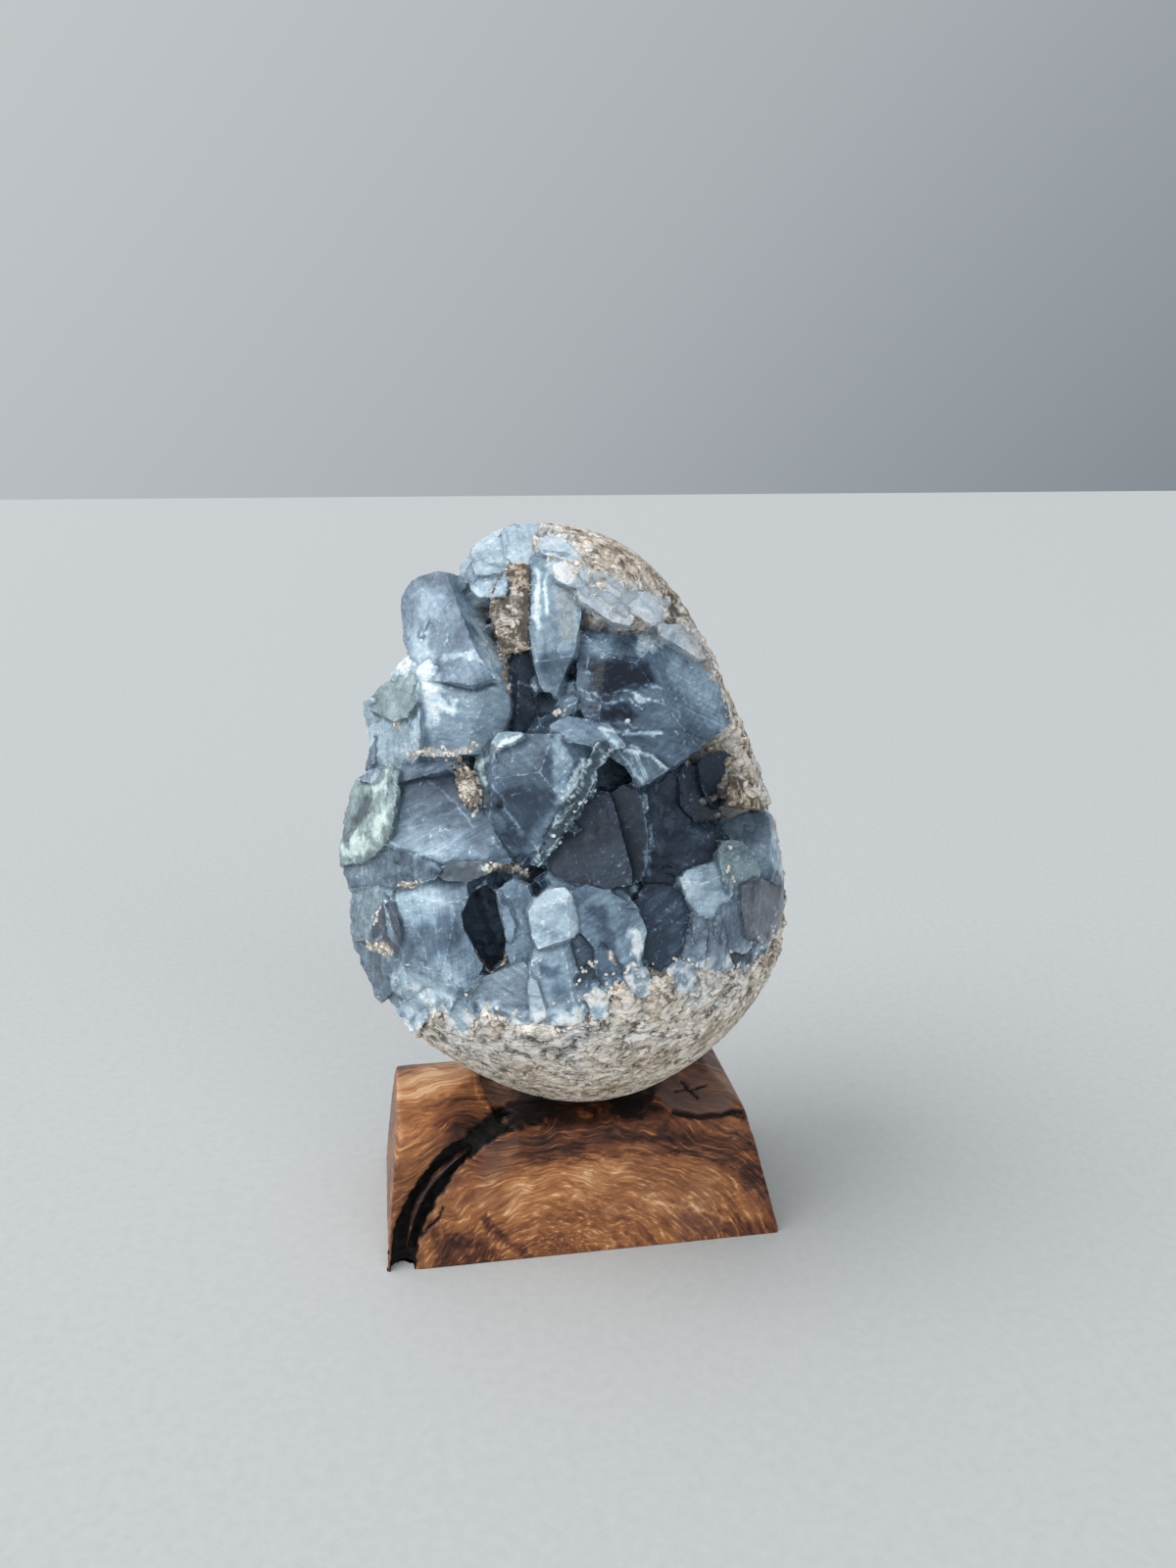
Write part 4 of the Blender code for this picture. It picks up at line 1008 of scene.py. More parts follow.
traced = new_group("traced")
for name, (cloudy, tint, outline, faces) in CRYSTALS.items():
    grow(name, cloudy, tint, faced_crystal(outline, faces), traced)
first_bit = len(hulls)
for name, (outline, faces) in MATRIX_BITS.items():
    grow(name, 0.0, 0.0, faced_crystal(outline, faces, BIT_DEPTH), traced)
after_bits = len(hulls)

# Small crystals fill the bed between those, and larger ones stand round the left side, where the
# photograph doesn't reach.
SPOTS, RIM_MARGIN, SPOT_DEPTH = 2600, 1.0 * MM, 13
SMALL_SPACING, LARGE_SPACING = 4.4 * MM, 7.5 * MM
SMALL_WIDTHS, SMALL_LENGTHS = (4, 8), (4.5, 7.2)
LARGE_WIDTHS, LARGE_LENGTHS = (9, 15), (10, 13.5)
SMALL_LEAN, LARGE_LEAN = 0.32, 0.2


def filler(foot, outward, lean, widths, lengths):
    way = outward + Vector(chance.normal(0, lean, 3))
    return blocky_crystal(foot, way, chance.uniform(*widths) * MM, chance.uniform(*lengths) * MM)


spots_rise = chance.uniform(-0.75, 0.97, SPOTS)
spots_angle = chance.uniform(0, math.tau, SPOTS)
spots = egg_points(spots_rise, spots_angle)
spots_open = open_distance(spots)
near_small, near_large = [], []
for place, opening, rise, angle in zip(spots, spots_open, spots_rise, spots_angle):
    if opening < RIM_MARGIN:
        continue
    outward = Vector(egg_points(np.array(rise), np.array(angle), grow=1.0 * MM) - place).normalized()
    spot = Vector(place)
    foot = spot - outward * SPOT_DEPTH * MM
    if outward.dot((eye - spot).normalized()) > 0.02:
        if any((spot - other).length < SMALL_SPACING for other in near_small):
            continue
        near_small.append(spot)
        shape = filler(foot, outward, SMALL_LEAN, SMALL_WIDTHS, SMALL_LENGTHS)
        grow("small_crystal", chance.uniform(0.1, 0.6), 0.0, shape, grown)
    else:
        if any((spot - other).length < LARGE_SPACING for other in near_large):
            continue
        near_large.append(spot)
        shape = filler(foot, outward, LARGE_LEAN, LARGE_WIDTHS, LARGE_LENGTHS)
        grow("side_crystal", chance.uniform(0.35, 0.8), chance.uniform(-0.4, 0.4), shape, grown)

cut = new_group("cut")
for number, corners in enumerate(GAPS):
    mouth = [corner_place(across, down, GAP_MOUTH) for across, down, _ in corners]
    floor = [corner_place(*corner) for corner in corners]
    middle = sum(floor, Vector()) / len(floor)
    store(f"gap_{number}", solid_round(mouth + [middle + (point - middle) * GAP_TAPER for point in floor]), cut)
inner = new_group("inner")
for name, (cloudy, tint, outline, faces) in {**GAP_CRYSTALS, **CAP_BLADES}.items():
    grow(name, cloudy, tint, faced_crystal(outline, faces, INNER_DEPTH), inner)

# The union of all of them, trimmed to the ground skin, without its unseen middle.
cluster = new_object("blue_crystals", hulls[after_bits].data.copy())
grown.objects.unlink(hulls[after_bits])
combine(cluster, grown, "UNION")
limit = new_object("filler_limit", filler_mesh)
combine(cluster, limit, "INTERSECT")
combine(cluster, traced, "UNION")
combine(cluster, cut, "DIFFERENCE")
combine(cluster, inner, "UNION")
ground = new_object("ground_egg", ground_mesh)
combine(cluster, ground, "INTERSECT")
kernel = new_object("kernel", egg_mesh("kernel", 40, 60, grow=-13 * MM))
combine(cluster, kernel, "DIFFERENCE")

# Its true faces, and places along its ridges and clefts.
EDGE_TURN, EDGE_STEP = math.radians(26), 0.2 * MM
shape = bmesh.new()
shape.from_mesh(cluster.data)
sharp_tree = BVHTree.FromBMesh(shape)
ridges, clefts = [], []
for edge in shape.edges:
    if len(edge.link_faces) != 2:
        continue
    turn = edge.calc_face_angle_signed(0.0)
    if abs(turn) > EDGE_TURN:
        start, end = edge.verts[0].co, edge.verts[1].co
        steps = max(1, round(edge.calc_length() / EDGE_STEP))
        places = [start.lerp(end, (step + 0.5) / steps) for step in range(steps)]
        (ridges if turn > 0 else clefts).extend(places)
shape.free()


def nearest_of(places, points):
    """The nearest of some places to each point, and how far away it is."""
    tree = KDTree(len(places))
    for number, place in enumerate(places):
        tree.insert(place, number)
    tree.balance()
    found = [tree.find(point) for point in points]
    return np.array([place for place, _, _ in found]), np.array([away for _, _, away in found])


CRYSTAL_VOXEL = 0.47 * MM
CLUSTER_TRIANGLES, SMALLEST_PART = 192000, 300
HIDDEN_DEPTH = 0.5 * MM
add_step(cluster, "REMESH", mode="VOXEL", voxel_size=CRYSTAL_VOXEL)
fine_mesh = finish_steps(cluster)

# What the rock hides needs few faces.
points = points_of(fine_mesh)
rock_tree = BVHTree.FromPolygons(moved.tolist(), [tuple(face.vertices) for face in rock_mesh.polygons])
hidden = []
for number, point in enumerate(points):
    place, outward, _, _ = rock_tree.find_nearest(point)
    if (Vector(point) - place).dot(outward) < -HIDDEN_DEPTH:
        hidden.append(number)
cluster.vertex_groups.new(name="hidden").add(hidden, 1.0, "REPLACE")
add_step(cluster, "DECIMATE", vertex_group="hidden", ratio=CLUSTER_TRIANGLES / (2 * len(fine_mesh.polygons)))
fine_mesh = finish_steps(cluster)
cluster.vertex_groups.clear()


def drop_specks(mesh, smallest):
    """Take away the parts of a mesh that hang loose with fewer points than the smallest to keep."""
    shape = bmesh.new()
    shape.from_mesh(mesh)
    unseen = set(shape.verts)
    while unseen:
        waiting = [unseen.pop()]
        part = list(waiting)
        while waiting:
            corner = waiting.pop()
            for link in corner.link_edges:
                other = link.other_vert(corner)
                if other in unseen:
                    unseen.remove(other)
                    waiting.append(other)
                    part.append(other)
        if len(part) < smallest:
            bmesh.ops.delete(shape, geom=part, context="VERTS")
    shape.to_mesh(mesh)
    shape.free()


drop_specks(fine_mesh, SMALLEST_PART)
points = points_of(fine_mesh)


def solid_planes(item):
    """The outward planes of a convex solid, as rows of a normal and a distance."""
    return np.array([(*face.normal, face.normal.dot(face.center)) for face in item.data.polygons])


# Which crystal each point belongs to: the one whose faces lie nearest.
REACH = 1 * MM
owner = np.zeros(len(points), int)
best = np.full(len(points), FAR)
for number, item in enumerate(hulls):
    planes = solid_planes(item)
    corners = points_of(item.data)
    near = np.all((points > corners.min(0) - REACH) & (points < corners.max(0) + REACH), 1).nonzero()[0]
    if len(near) == 0:
        continue
    away = np.abs((points[near] @ planes[:, :3].T - planes[:, 3]).max(1))
    closer = away < best[near]
    owner[near[closer]] = number
    best[near[closer]] = away[closer]
is_bit = (owner >= first_bit) & (owner < after_bits)

# Bring the remeshed surface back to the true faces, and its nearest points to the edges.
EDGE_PULL, PULL_START, PULL_END = 0.8, 0.24 * MM, 0.42 * MM
RIDGE_WIDTH, CLEFT_WIDTH = 0.33 * MM, 0.6 * MM
points = np.array([sharp_tree.find_nearest(point)[0] for point in points])
edge_places, edge_away = nearest_of(ridges, points)
pull = EDGE_PULL * (1 - smooth_step(PULL_START, PULL_END, edge_away))[:, None]
points = points + (edge_places - points) * pull
ridge = np.exp(-(edge_away / RIDGE_WIDTH) ** 2)
cleft = np.exp(-(nearest_of(clefts, points)[1] / CLEFT_WIDTH) ** 2)
move_points(fine_mesh, points)

# Faces are stepped by cleavage, edges are worn, and breaks are rough. Heights are in millimetres.
TERRACE_WIDTH, TERRACE_HEIGHT = 2.3 * MM, 0.3
SWELL_HEIGHT, EDGE_WEAR, BREAK_HEIGHT = 0.06, 0.1, 0.5
SETTLE, DEEPEST, HIGHEST, HIGHEST_BREAK = 0.13, -0.8, 0.12, 0.25
FROST_WIDTH = 2.6 * MM
outward = normals_of(fine_mesh)
step_ways = chance.normal(0, 1, (len(hulls), 3))
for number, item in enumerate(hulls):
    if item.name in CLEAVAGE:
        right, up = CLEAVAGE[item.name]
        step_ways[number] = RIGHT * right + UP * up + AHEAD * 0.15
step_ways /= np.linalg.norm(step_ways, axis=1)[:, None]
striae = (points * step_ways[owner]).sum(1)
swell = rough(points, 8 * MM, 21, 2)
patchy = smooth_step(-0.1, 0.35, rough(points, 6 * MM, 23, 2))
terraces = (striae / TERRACE_WIDTH + swell * 0.5) % 1.0 * patchy
broken = np.array([item.name in BROKEN_CRYSTALS or item.name.startswith("side") for item in hulls])[owner]
height = swell * SWELL_HEIGHT + terraces * TERRACE_HEIGHT - SETTLE - EDGE_WEAR * ridge
height += rough(points, 1.6 * MM, 22, 2) * (0.04 + 0.16 * ridge + 0.35 * is_bit)
height += rough(points, 2.2 * MM, 24, 4) * BREAK_HEIGHT * broken
height = np.clip(height, DEEPEST, HIGHEST + HIGHEST_BREAK * broken)
move_points(fine_mesh, points + outward * (height * MM)[:, None])
lower_side = smooth_step(*LOW_SIDE, points[:, 2])
frost_patches = smooth_step(-0.25, 0.3, rough(points, 2.0 * MM, 25, 4))
frosting = np.exp(-(np.maximum(open_distance(points), 0) / FROST_WIDTH) ** 2) * lower_side * frost_patches
veil = marks_on(points, outward, VEILS_GLINTS_AND_WINDOWS) + frosting * 0.9
stain = marks_on(points, outward, STAINS)
seam_lime = marks_on(points, outward, SEAM_CRUMBS, 0.6) + frosting * 0.45 + cleft * stain
# In the bits of matrix, the pit value darkens their creases as painted shade.
set_values(
    fine_mesh, cloud=np.array(cloudiness)[owner], tint=np.array(tints)[owner], ridge=ridge, cleft=cleft, veil=veil,
    stain=stain, striae=striae, crystal=owner * 0.37 % 1.0, pit=is_bit * cleft * 0.8, unground=is_bit,
    notch=is_bit * marks_on(points, outward, BIT_MARKS, 0.5), crumbs=np.clip(seam_lime, 0, 1),
    flecks=np.clip(veil - 0.35, 0, 1) * 1.2)
fine_mesh.shade_smooth()
fine_mesh.set_sharp_from_angle(angle=math.radians(24))

CELESTITE_IOR = 1.62
LEAST_MILK = 0.40
blue = Finish("celestite")
cloud, tint, edge_line, crease_shade = (blue.value_of(name) for name in ("cloud", "tint", "ridge", "cleft"))
veil_glint_mark, rust, which = (blue.value_of(name) for name in ("veil", "stain", "crystal"))
curly = blue.bent(blue.place, 7.0, 2.0)
own = blue.moved(curly, blue.vector(which * 0.31, which * 0.17, which * 0.23))
clouds = blue.noise(own, 9.0, 5.0, 0.62)
wisps = blue.noise(blue.stretched((0.22, 1.0, 1.0), turn=(0.4, 1.1, 0.3), place=own), 2.4, 6.0, 0.68)
frost = blue.noise(own, 0.9, 6.0, 0.75)
across_steps = blue.vector(blue.value_of("striae"), clouds * 0.003, which * 0.1)
striae = blue.noise(across_steps, 0.8, 4.0, 0.7)
crack_wave = blue.noise(own, 7.0, 3.0, 0.5)
cracks = 1 - abs(crack_wave - 0.5).step(0.0, 0.012)
# Pale lines along the sharp ridges: chipped edges, and painted edge highlights.
chips_and_edge_highlights = edge_line.step(0.45, 0.85) * wisps.step(0.42, 0.56)
shown = veil_glint_mark * (0.35 + wisps * 0.7 + striae * 0.6)
scratches = striae.step(0.60, 0.70) * clouds.step(0.48, 0.62)
# The tone is lowered along the clefts as painted shade in the creases.
tone = (0.11 + cloud * 0.60 + (clouds - 0.5) * 0.62 + (wisps - 0.5) * 0.26 + (frost - 0.5) * 0.22 + shown * 0.5
        + (striae - 0.5) * 0.36 + chips_and_edge_highlights * 0.34 + scratches * 0.22 + cracks * frost.step(0.5, 0.62) * 0.35
        - crease_shade * 0.11)
milk = blue.ramp(tone, (0.0, (0.005, 0.011, 0.022)), (0.22, (0.032, 0.056, 0.090)), (0.42, (0.125, 0.190, 0.265)),
                 (0.60, (0.285, 0.395, 0.490)), (0.78, (0.51, 0.64, 0.72)), (0.95, (0.88, 0.92, 0.94)))
green_milk = blue.ramp(tone, (0.3, (0.05, 0.085, 0.075)), (0.8, (0.60, 0.74, 0.64)))
greenish = blue.blend((tint * -0.6).clamped(), milk, green_milk)
plum_milk = blue.ramp(tone, (0.2, (0.035, 0.028, 0.034)), (0.8, (0.42, 0.38, 0.40)))
plum = blue.blend((tint * 0.55).clamped(), greenish, plum_milk)
tan = blue.blend(rust, plum, blue.ramp(frost, (0.4, (0.30, 0.22, 0.14)), (0.62, (0.66, 0.58, 0.47))))
grit = blue.noise(blue.place, 0.35, 3.0, 0.6)
surface_bump = blue.bump(
    clouds * 0.3 + wisps * 0.25 + frost * 0.35 + striae * 0.3 + (veil_glint_mark + chips_and_edge_highlights).clamped() * grit * 0.9, 0.4)
satin = (0.17 + cloud * 0.10 + (frost - 0.5) * 0.5).clamped()
clear = blue.add("ShaderNodeBsdfPrincipled", values={
    "Base Color": (0.38, 0.60, 0.86), "Roughness": 0.05, "IOR": CELESTITE_IOR, "Transmission Weight": 1.0,
    "Normal": surface_bump})
milky = blue.add("ShaderNodeBsdfPrincipled", values={
    "Base Color": tan, "Roughness": satin, "IOR": CELESTITE_IOR, "Specular IOR Level": 0.36,
    "Subsurface Weight": 0.35, "Subsurface Radius": (0.6, 0.9, 1.2), "Subsurface Scale": 1.6 * MM,
    "Normal": surface_bump})
share = (0.76 + cloud * 0.16 + (clouds - 0.5) * 0.5 + (wisps - 0.5) * 0.5 + abs(veil_glint_mark) * 0.4 + chips_and_edge_highlights * 0.3
         + scratches * 0.3 + rust).clamped()
share = share.math("MAXIMUM", share, LEAST_MILK)
absorb = blue.add("ShaderNodeVolumeAbsorption", values={
    "Color": (0.26, 0.54, 0.78), "Density": 120.0}, output="Volume")
blue.surface(blue.add("ShaderNodeMixShader", values={0: share, 1: clear, 2: milky}), absorb)

# The bits of matrix have the rock's own finish.
corner_points = np.empty(len(fine_mesh.loops), int)
fine_mesh.loops.foreach_get("vertex_index", corner_points)
first_corners = np.empty(len(fine_mesh.polygons), int)
fine_mesh.polygons.foreach_get("loop_start", first_corners)
fine_mesh.materials.clear()
fine_mesh.materials.append(blue.material)
fine_mesh.materials.append(cream.material)
fine_mesh.polygons.foreach_set("material_index", is_bit[corner_points[first_corners]].astype(int))
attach(cluster, "root")
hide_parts("celestite_egg")
for item in (*hulls, *cut.objects, ground, kernel, limit):
    bpy.data.objects.remove(item)
for group in (traced, grown, cut, inner):
    bpy.data.collections.remove(group)

# ---------------------------------------------------------------------------
# White flecks: sugary grains of celestite on the crystals, where they are frosted or bruised and on the painted glints.
# They are small angular lumps, scattered where an attribute of the crystals under them says.
LUMP_LEAN, CHIP_WAVES = 0.4, 1400.0


def lump_scatter():
    """A tree of Geometry Nodes that scatters lumps over a surface, and its inputs' identifiers."""
    tree = bpy.data.node_groups.new("scattered_lumps", "GeometryNodeTree")
    tree.interface.new_socket("Geometry", in_out="INPUT", socket_type="NodeSocketGeometry")
    inputs = {}
    for name, kind in (("Where", "String"), ("Per square metre", "Float"), ("Smallest", "Float"), ("Largest", "Float"),
                       ("Roundness", "Float"), ("Finish", "Material")):
        inputs[name] = tree.interface.new_socket(name, in_out="INPUT", socket_type=f"NodeSocket{kind}").identifier
    tree.interface.new_socket("Geometry", in_out="OUTPUT", socket_type="NodeSocketGeometry")

    def node(kind, values=None, output=0, **settings):
        made = tree.nodes.new(kind)
        for name, value in settings.items():
            setattr(made, name, value)
        for name, value in (values or {}).items():
            if isinstance(value, bpy.types.NodeSocket):
                tree.links.new(value, made.inputs[name])
            else:
                made.inputs[name].default_value = value
        return made.outputs[output] if output is not None else made.outputs

    given = node("NodeGroupInput", output=None)
    where = node("GeometryNodeInputNamedAttribute", {"Name": given["Where"]}, data_type="FLOAT")
    density = node("ShaderNodeMath", {0: where, 1: given["Per square metre"]}, operation="MULTIPLY")
    spread = node("GeometryNodeDistributePointsOnFaces", {
        "Mesh": given["Geometry"], "Density": density, "Seed": 4}, output=None)
    lump = node("GeometryNodeMeshIcoSphere", {"Radius": 1.0, "Subdivisions": 1}, "Mesh")
    spin = node("FunctionNodeRandomValue", {
        0: (-LUMP_LEAN, -LUMP_LEAN, 0.0), 1: (LUMP_LEAN, LUMP_LEAN, math.tau), "Seed": 5}, data_type="FLOAT_VECTOR")
    turned = node("FunctionNodeRotateRotation", {
        "Rotation": spread["Rotation"], "Rotate By": spin}, rotation_space="LOCAL")
    size = node("FunctionNodeRandomValue", {
        2: given["Smallest"], 3: given["Largest"], "Seed": 6}, 1, data_type="FLOAT")
    longer = node("FunctionNodeRandomValue", {2: 0.6, 3: 1.5, "Seed": 7}, 1, data_type="FLOAT")
    shape = node("ShaderNodeCombineXYZ", {"X": longer, "Y": 1.0, "Z": given["Roundness"]})
    scale = node("ShaderNodeVectorMath", {0: shape, "Scale": size}, operation="SCALE")
    placed = node("GeometryNodeInstanceOnPoints", {
        "Points": spread["Points"], "Instance": lump, "Rotation": turned, "Scale": scale})
    real = node("GeometryNodeRealizeInstances", {"Geometry": placed})
    wave = node("ShaderNodeTexNoise", {"Scale": CHIP_WAVES, "Detail": 1.0})
    centred = node("ShaderNodeMath", {0: wave, 1: 0.5}, operation="SUBTRACT")
    reach = node("ShaderNodeMath", {0: centred, 1: given["Largest"]}, operation="MULTIPLY")
    push = node("ShaderNodeVectorMath", {0: node("GeometryNodeInputNormal"), "Scale": reach}, operation="SCALE")
    chipped = node("GeometryNodeSetPosition", {"Geometry": real, "Offset": push})
    finished = node("GeometryNodeSetMaterial", {"Geometry": chipped, "Material": given["Finish"]})
    node("NodeGroupOutput", {"Geometry": finished}, None)
    return tree, inputs


lump_tree, lump_inputs = lump_scatter()


def scatter(name, ground, **values):
    """A piece of lumps on a copy of a surface, given the tree's inputs by name."""
    item = new_object(name, ground)
    step = add_step(item, "NODES", node_group=lump_tree)
    for key, value in values.items():
        step[lump_inputs[key.replace("_", " ")]] = value
    mesh = finish_steps(item)
    mesh.name = name
    mesh.materials.clear()
    mesh.materials.append(values["Finish"])
    for spare in ("bed", "pit", "crust", "window", "notch", "unground", "crumbs"):
        if mesh.attributes.get(spare):
            mesh.attributes.remove(mesh.attributes[spare])
    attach(item, "root")
    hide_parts("celestite_egg")


sugar = Finish("white_flecks")
grains = sugar.noise(sugar.place, 0.5, 3.0, 0.6)
sugar.surface(sugar.add("ShaderNodeBsdfPrincipled", values={
    "Base Color": sugar.ramp(grains, (0.3, (0.42, 0.50, 0.55)), (0.6, (0.74, 0.77, 0.78))),
    "Roughness": 0.3 + grains * 0.3, "Normal": sugar.bump(grains, 0.2)}))
scatter("white_flecks", fine_mesh, Where="flecks", Per_square_metre=1.3e6, Smallest=0.10 * MM, Largest=0.38 * MM,
        Roundness=0.5, Finish=sugar.material)

# ---------------------------------------------------------------------------
# Seam crumbs: pale lime that is left in the seams between the crystals and on their stained edges, in
# flat crumbs that are scattered in the same way.
lime = Finish("lime_crumbs")
grains = lime.noise(lime.place, 0.8, 4.0, 0.6)
pale_lime = lime.ramp(grains, (0.32, (0.36, 0.31, 0.25)), (0.48, (0.64, 0.59, 0.52)), (0.62, (0.84, 0.81, 0.77)))
lime.surface(lime.add("ShaderNodeBsdfPrincipled", values={
    "Base Color": pale_lime, "Roughness": 0.65 - grains * 0.1, "Normal": lime.bump(grains, 0.2)}))
scatter("seam_crumbs", fine_mesh, Where="crumbs", Per_square_metre=2.6e6, Smallest=0.14 * MM, Largest=0.5 * MM,
        Roundness=0.45, Finish=lime.material)

# ---------------------------------------------------------------------------
# Cream crumbs: broken bits of the rock's own matrix along the ragged edge of its opening, larger than
# the others, and scattered over the rock in the same way.
scatter("cream_crumbs", rock_mesh, Where="crumbs", Per_square_metre=0.8e6, Smallest=0.3 * MM, Largest=1.0 * MM,
        Roundness=0.5, Finish=cream.material)

# ---------------------------------------------------------------------------
# The wooden stand: a block of burr oak, sawn, bored for the seat, sanded soft at its edges and oiled.
# A bark crack runs up its front into the seat, and there is a split knot right of the seat.
# Its pale, grey and dark marks and its splits, as marks in the photograph again: some pale marks are painted highlights
# and some dark marks are painted shadow.
WOOD_PALE_AND_HIGHLIT = (
    # Painted highlights: the rounded top left edge and the left edge, where the light catches them.
    (1.0, 6, ((400, 1096), (470, 1080), (486, 1092), (470, 1112), (430, 1122), (402, 1128))),
    (0.4, 8, ((402, 1128), (440, 1120), (470, 1130), (440, 1170), (410, 1200), (398, 1180))),
    (0.6, 6, ((684, 1090), (742, 1098), (756, 1122), (745, 1112), (712, 1100))),
    (0.5, -1.3, ((482, 1098), (488, 1118), (500, 1136), (508, 1143))),
    (0.7, -1.5, ((660, 1225), (680, 1229), (695, 1234), (706, 1231), (722, 1237), (745, 1245))),
    (0.4, 9, ((515, 1205), (560, 1185), (640, 1180), (640, 1200), (560, 1240), (520, 1250))),
)
WOOD_GREY = (
    (1.0, 3, ((664, 1114), (672, 1101), (688, 1094), (710, 1092), (734, 1100), (752, 1116), (750, 1132), (715, 1136),
              (685, 1131))),
    (0.5, 4, ((500, 1172), (530, 1160), (520, 1190), (495, 1215), (490, 1195))),
)
WOOD_DARK_AND_SHADOW = (
    (0.35, 4, ((668, 1110), (680, 1099), (705, 1094), (730, 1101), (750, 1118), (746, 1131), (715, 1136), (685, 1131))),
    (0.6, 7, ((440, 1255), (480, 1262), (512, 1280), (505, 1300), (448, 1300))),
    (0.45, 8, ((680, 1240), (720, 1236), (790, 1252), (792, 1262), (700, 1274))),
    (0.6, 5, ((752, 1188), (775, 1184), (793, 1205), (795, 1225), (770, 1222))),
    (0.55, -3.0, ((540, 1178), (600, 1166), (650, 1160), (700, 1166), (760, 1184))),
    (0.5, -2.0, ((580, 1186), (640, 1176), (700, 1176), (750, 1190))),
    (0.6, -4.0, ((495, 1245), (515, 1262), (540, 1283))),
    (0.35, 6, ((446, 1128), (482, 1120), (500, 1144), (470, 1158), (440, 1150))),
    # Painted shadow: the seat's right inner wall, the gap under the egg and the wood in the egg's shadow.
    (2.2, 3, ((622, 1112), (640, 1108), (654, 1112), (652, 1138), (640, 1140), (624, 1134))),
    (1.3, 4, ((516, 1134), (526, 1118), (545, 1114), (572, 1118), (568, 1138), (540, 1150), (518, 1148))),
    (0.35, 7, ((560, 1120), (700, 1108), (676, 1132), (640, 1150), (560, 1160))),
    (0.5, 8, ((500, 1172), (560, 1158), (640, 1150), (760, 1158), (790, 1180), (700, 1172), (620, 1172), (540, 1184))),
)
WOOD_SPLITS = (
    (1.0, -1.5, ((695, 1103), (703, 1111), (712, 1120))),
    (1.0, -1.1, ((688, 1113), (703, 1111), (719, 1108))),
    (1.0, -3.2, ((688, 1134), (712, 1139), (735, 1137), (748, 1133), (766, 1135))),
    (1.0, -1.8, ((735, 1136), (750, 1138), (764, 1141))),
    (0.9, -1.4, ((430, 1262), (446, 1246), (452, 1232))),
)
# The bark crack: places across the front, heights and half widths, in millimetres.
BARK_CRACK = ((-35.3, -1.0, 2.0), (-34.4, 6.0, 2.0), (-31.0, 13.0, 2.1), (-26.5, 18.5, 1.8), (-20.5, 23.0, 1.3),
              (-14.0, 25.6, 1.1), (-7.5, 26.6, 1.7))

block = bmesh.new()
block.from_mesh(frame["nodes"]["wood_stand"].data)
bmesh.ops.remove_doubles(block, verts=block.verts, dist=1e-6)
stand_mesh = bpy.data.meshes.new("oak_stand")
block.to_mesh(stand_mesh)
block.free()
stand = new_object("oak_stand", stand_mesh)
WOOD_VOXEL = 0.45 * MM
add_step(stand, "REMESH", mode="VOXEL", voxel_size=WOOD_VOXEL)
add_step(stand, "SMOOTH", factor=0.5, iterations=6)
stand_mesh = finish_steps(stand)

# The upper edges outside the seat are worn rounder.
SHOULDER_LOW, SHOULDER_HIGH = 19 * MM, 25.5 * MM
SEAT_BACK, SEAT_CLEAR = 20.5 * MM, 19.5 * MM
shoulder = [number for number, point in enumerate(points_of(stand_mesh)) if SHOULDER_LOW < point[2] < SHOULDER_HIGH
            and np.hypot(point[0] - front_edge.x, point[1] - front_edge.y - SEAT_BACK) > SEAT_CLEAR]
stand.vertex_groups.new(name="shoulder").add(shoulder, 1.0, "REPLACE")
add_step(stand, "SMOOTH", factor=0.5, iterations=60, vertex_group="shoulder")
stand_mesh = finish_steps(stand)
stand.vertex_groups.clear()

# The crack, the splits and the saw marks are relief. Heights are in millimetres.
BARK_DEPTH, BARK_LUMPS, SPLIT_DEPTH, LIP_DEPTH, SAW_MARKS = 0.6, 1.2, 0.7, 0.25, 0.05
CRACK_BACK, BASE_BAND = 16, 0.3 * MM
points = points_of(stand_mesh)
outward = normals_of(stand_mesh)
local = (points - np.array(front_edge)) / MM
split = np.full(len(points), FAR)
for (x1, z1, w1), (x2, z2, w2) in zip(BARK_CRACK, BARK_CRACK[1:]):
    away, share = from_line(local[:, 0], local[:, 2], (x1, z1), (x2, z2))
    split = np.minimum(split, away - (w1 + share * (w2 - w1)))
split = np.where(local[:, 1] > CRACK_BACK, 9.0, split) + rough(points, 2.4 * MM, 31, 3) * 0.7
bark = 1 - smooth_step(-0.1, 0.7, split)
splits = marks_on(points, outward, WOOD_SPLITS, 0.3)
inset = -bark * (BARK_DEPTH + np.abs(rough(points, 1.4 * MM, 32, 2)) * BARK_LUMPS) - splits * SPLIT_DEPTH
inset -= LIP_DEPTH * np.exp(-np.maximum(split, 0) ** 2 / 1.5)
inset += rough(points * (0.3, 1, 1), 2.6 * MM, 33, 3) * SAW_MARKS
moved_wood = points + outward * (inset * MM)[:, None]
moved_wood[:, 2] = np.maximum(moved_wood[:, 2], 0)
moved_wood[:, 2][points[:, 2] < BASE_BAND] = 0
move_points(stand_mesh, moved_wood)
set_values(
    stand_mesh, bark=bark, splits=splits, light=marks_on(points, outward, WOOD_PALE_AND_HIGHLIT, 0.6),
    dark=marks_on(points, outward, WOOD_DARK_AND_SHADOW, 1.0), grey=marks_on(points, outward, WOOD_GREY, 0.5),
    burnt_edge=np.exp(-np.maximum(split, 0) / 1.6))
stand_mesh.shade_smooth()

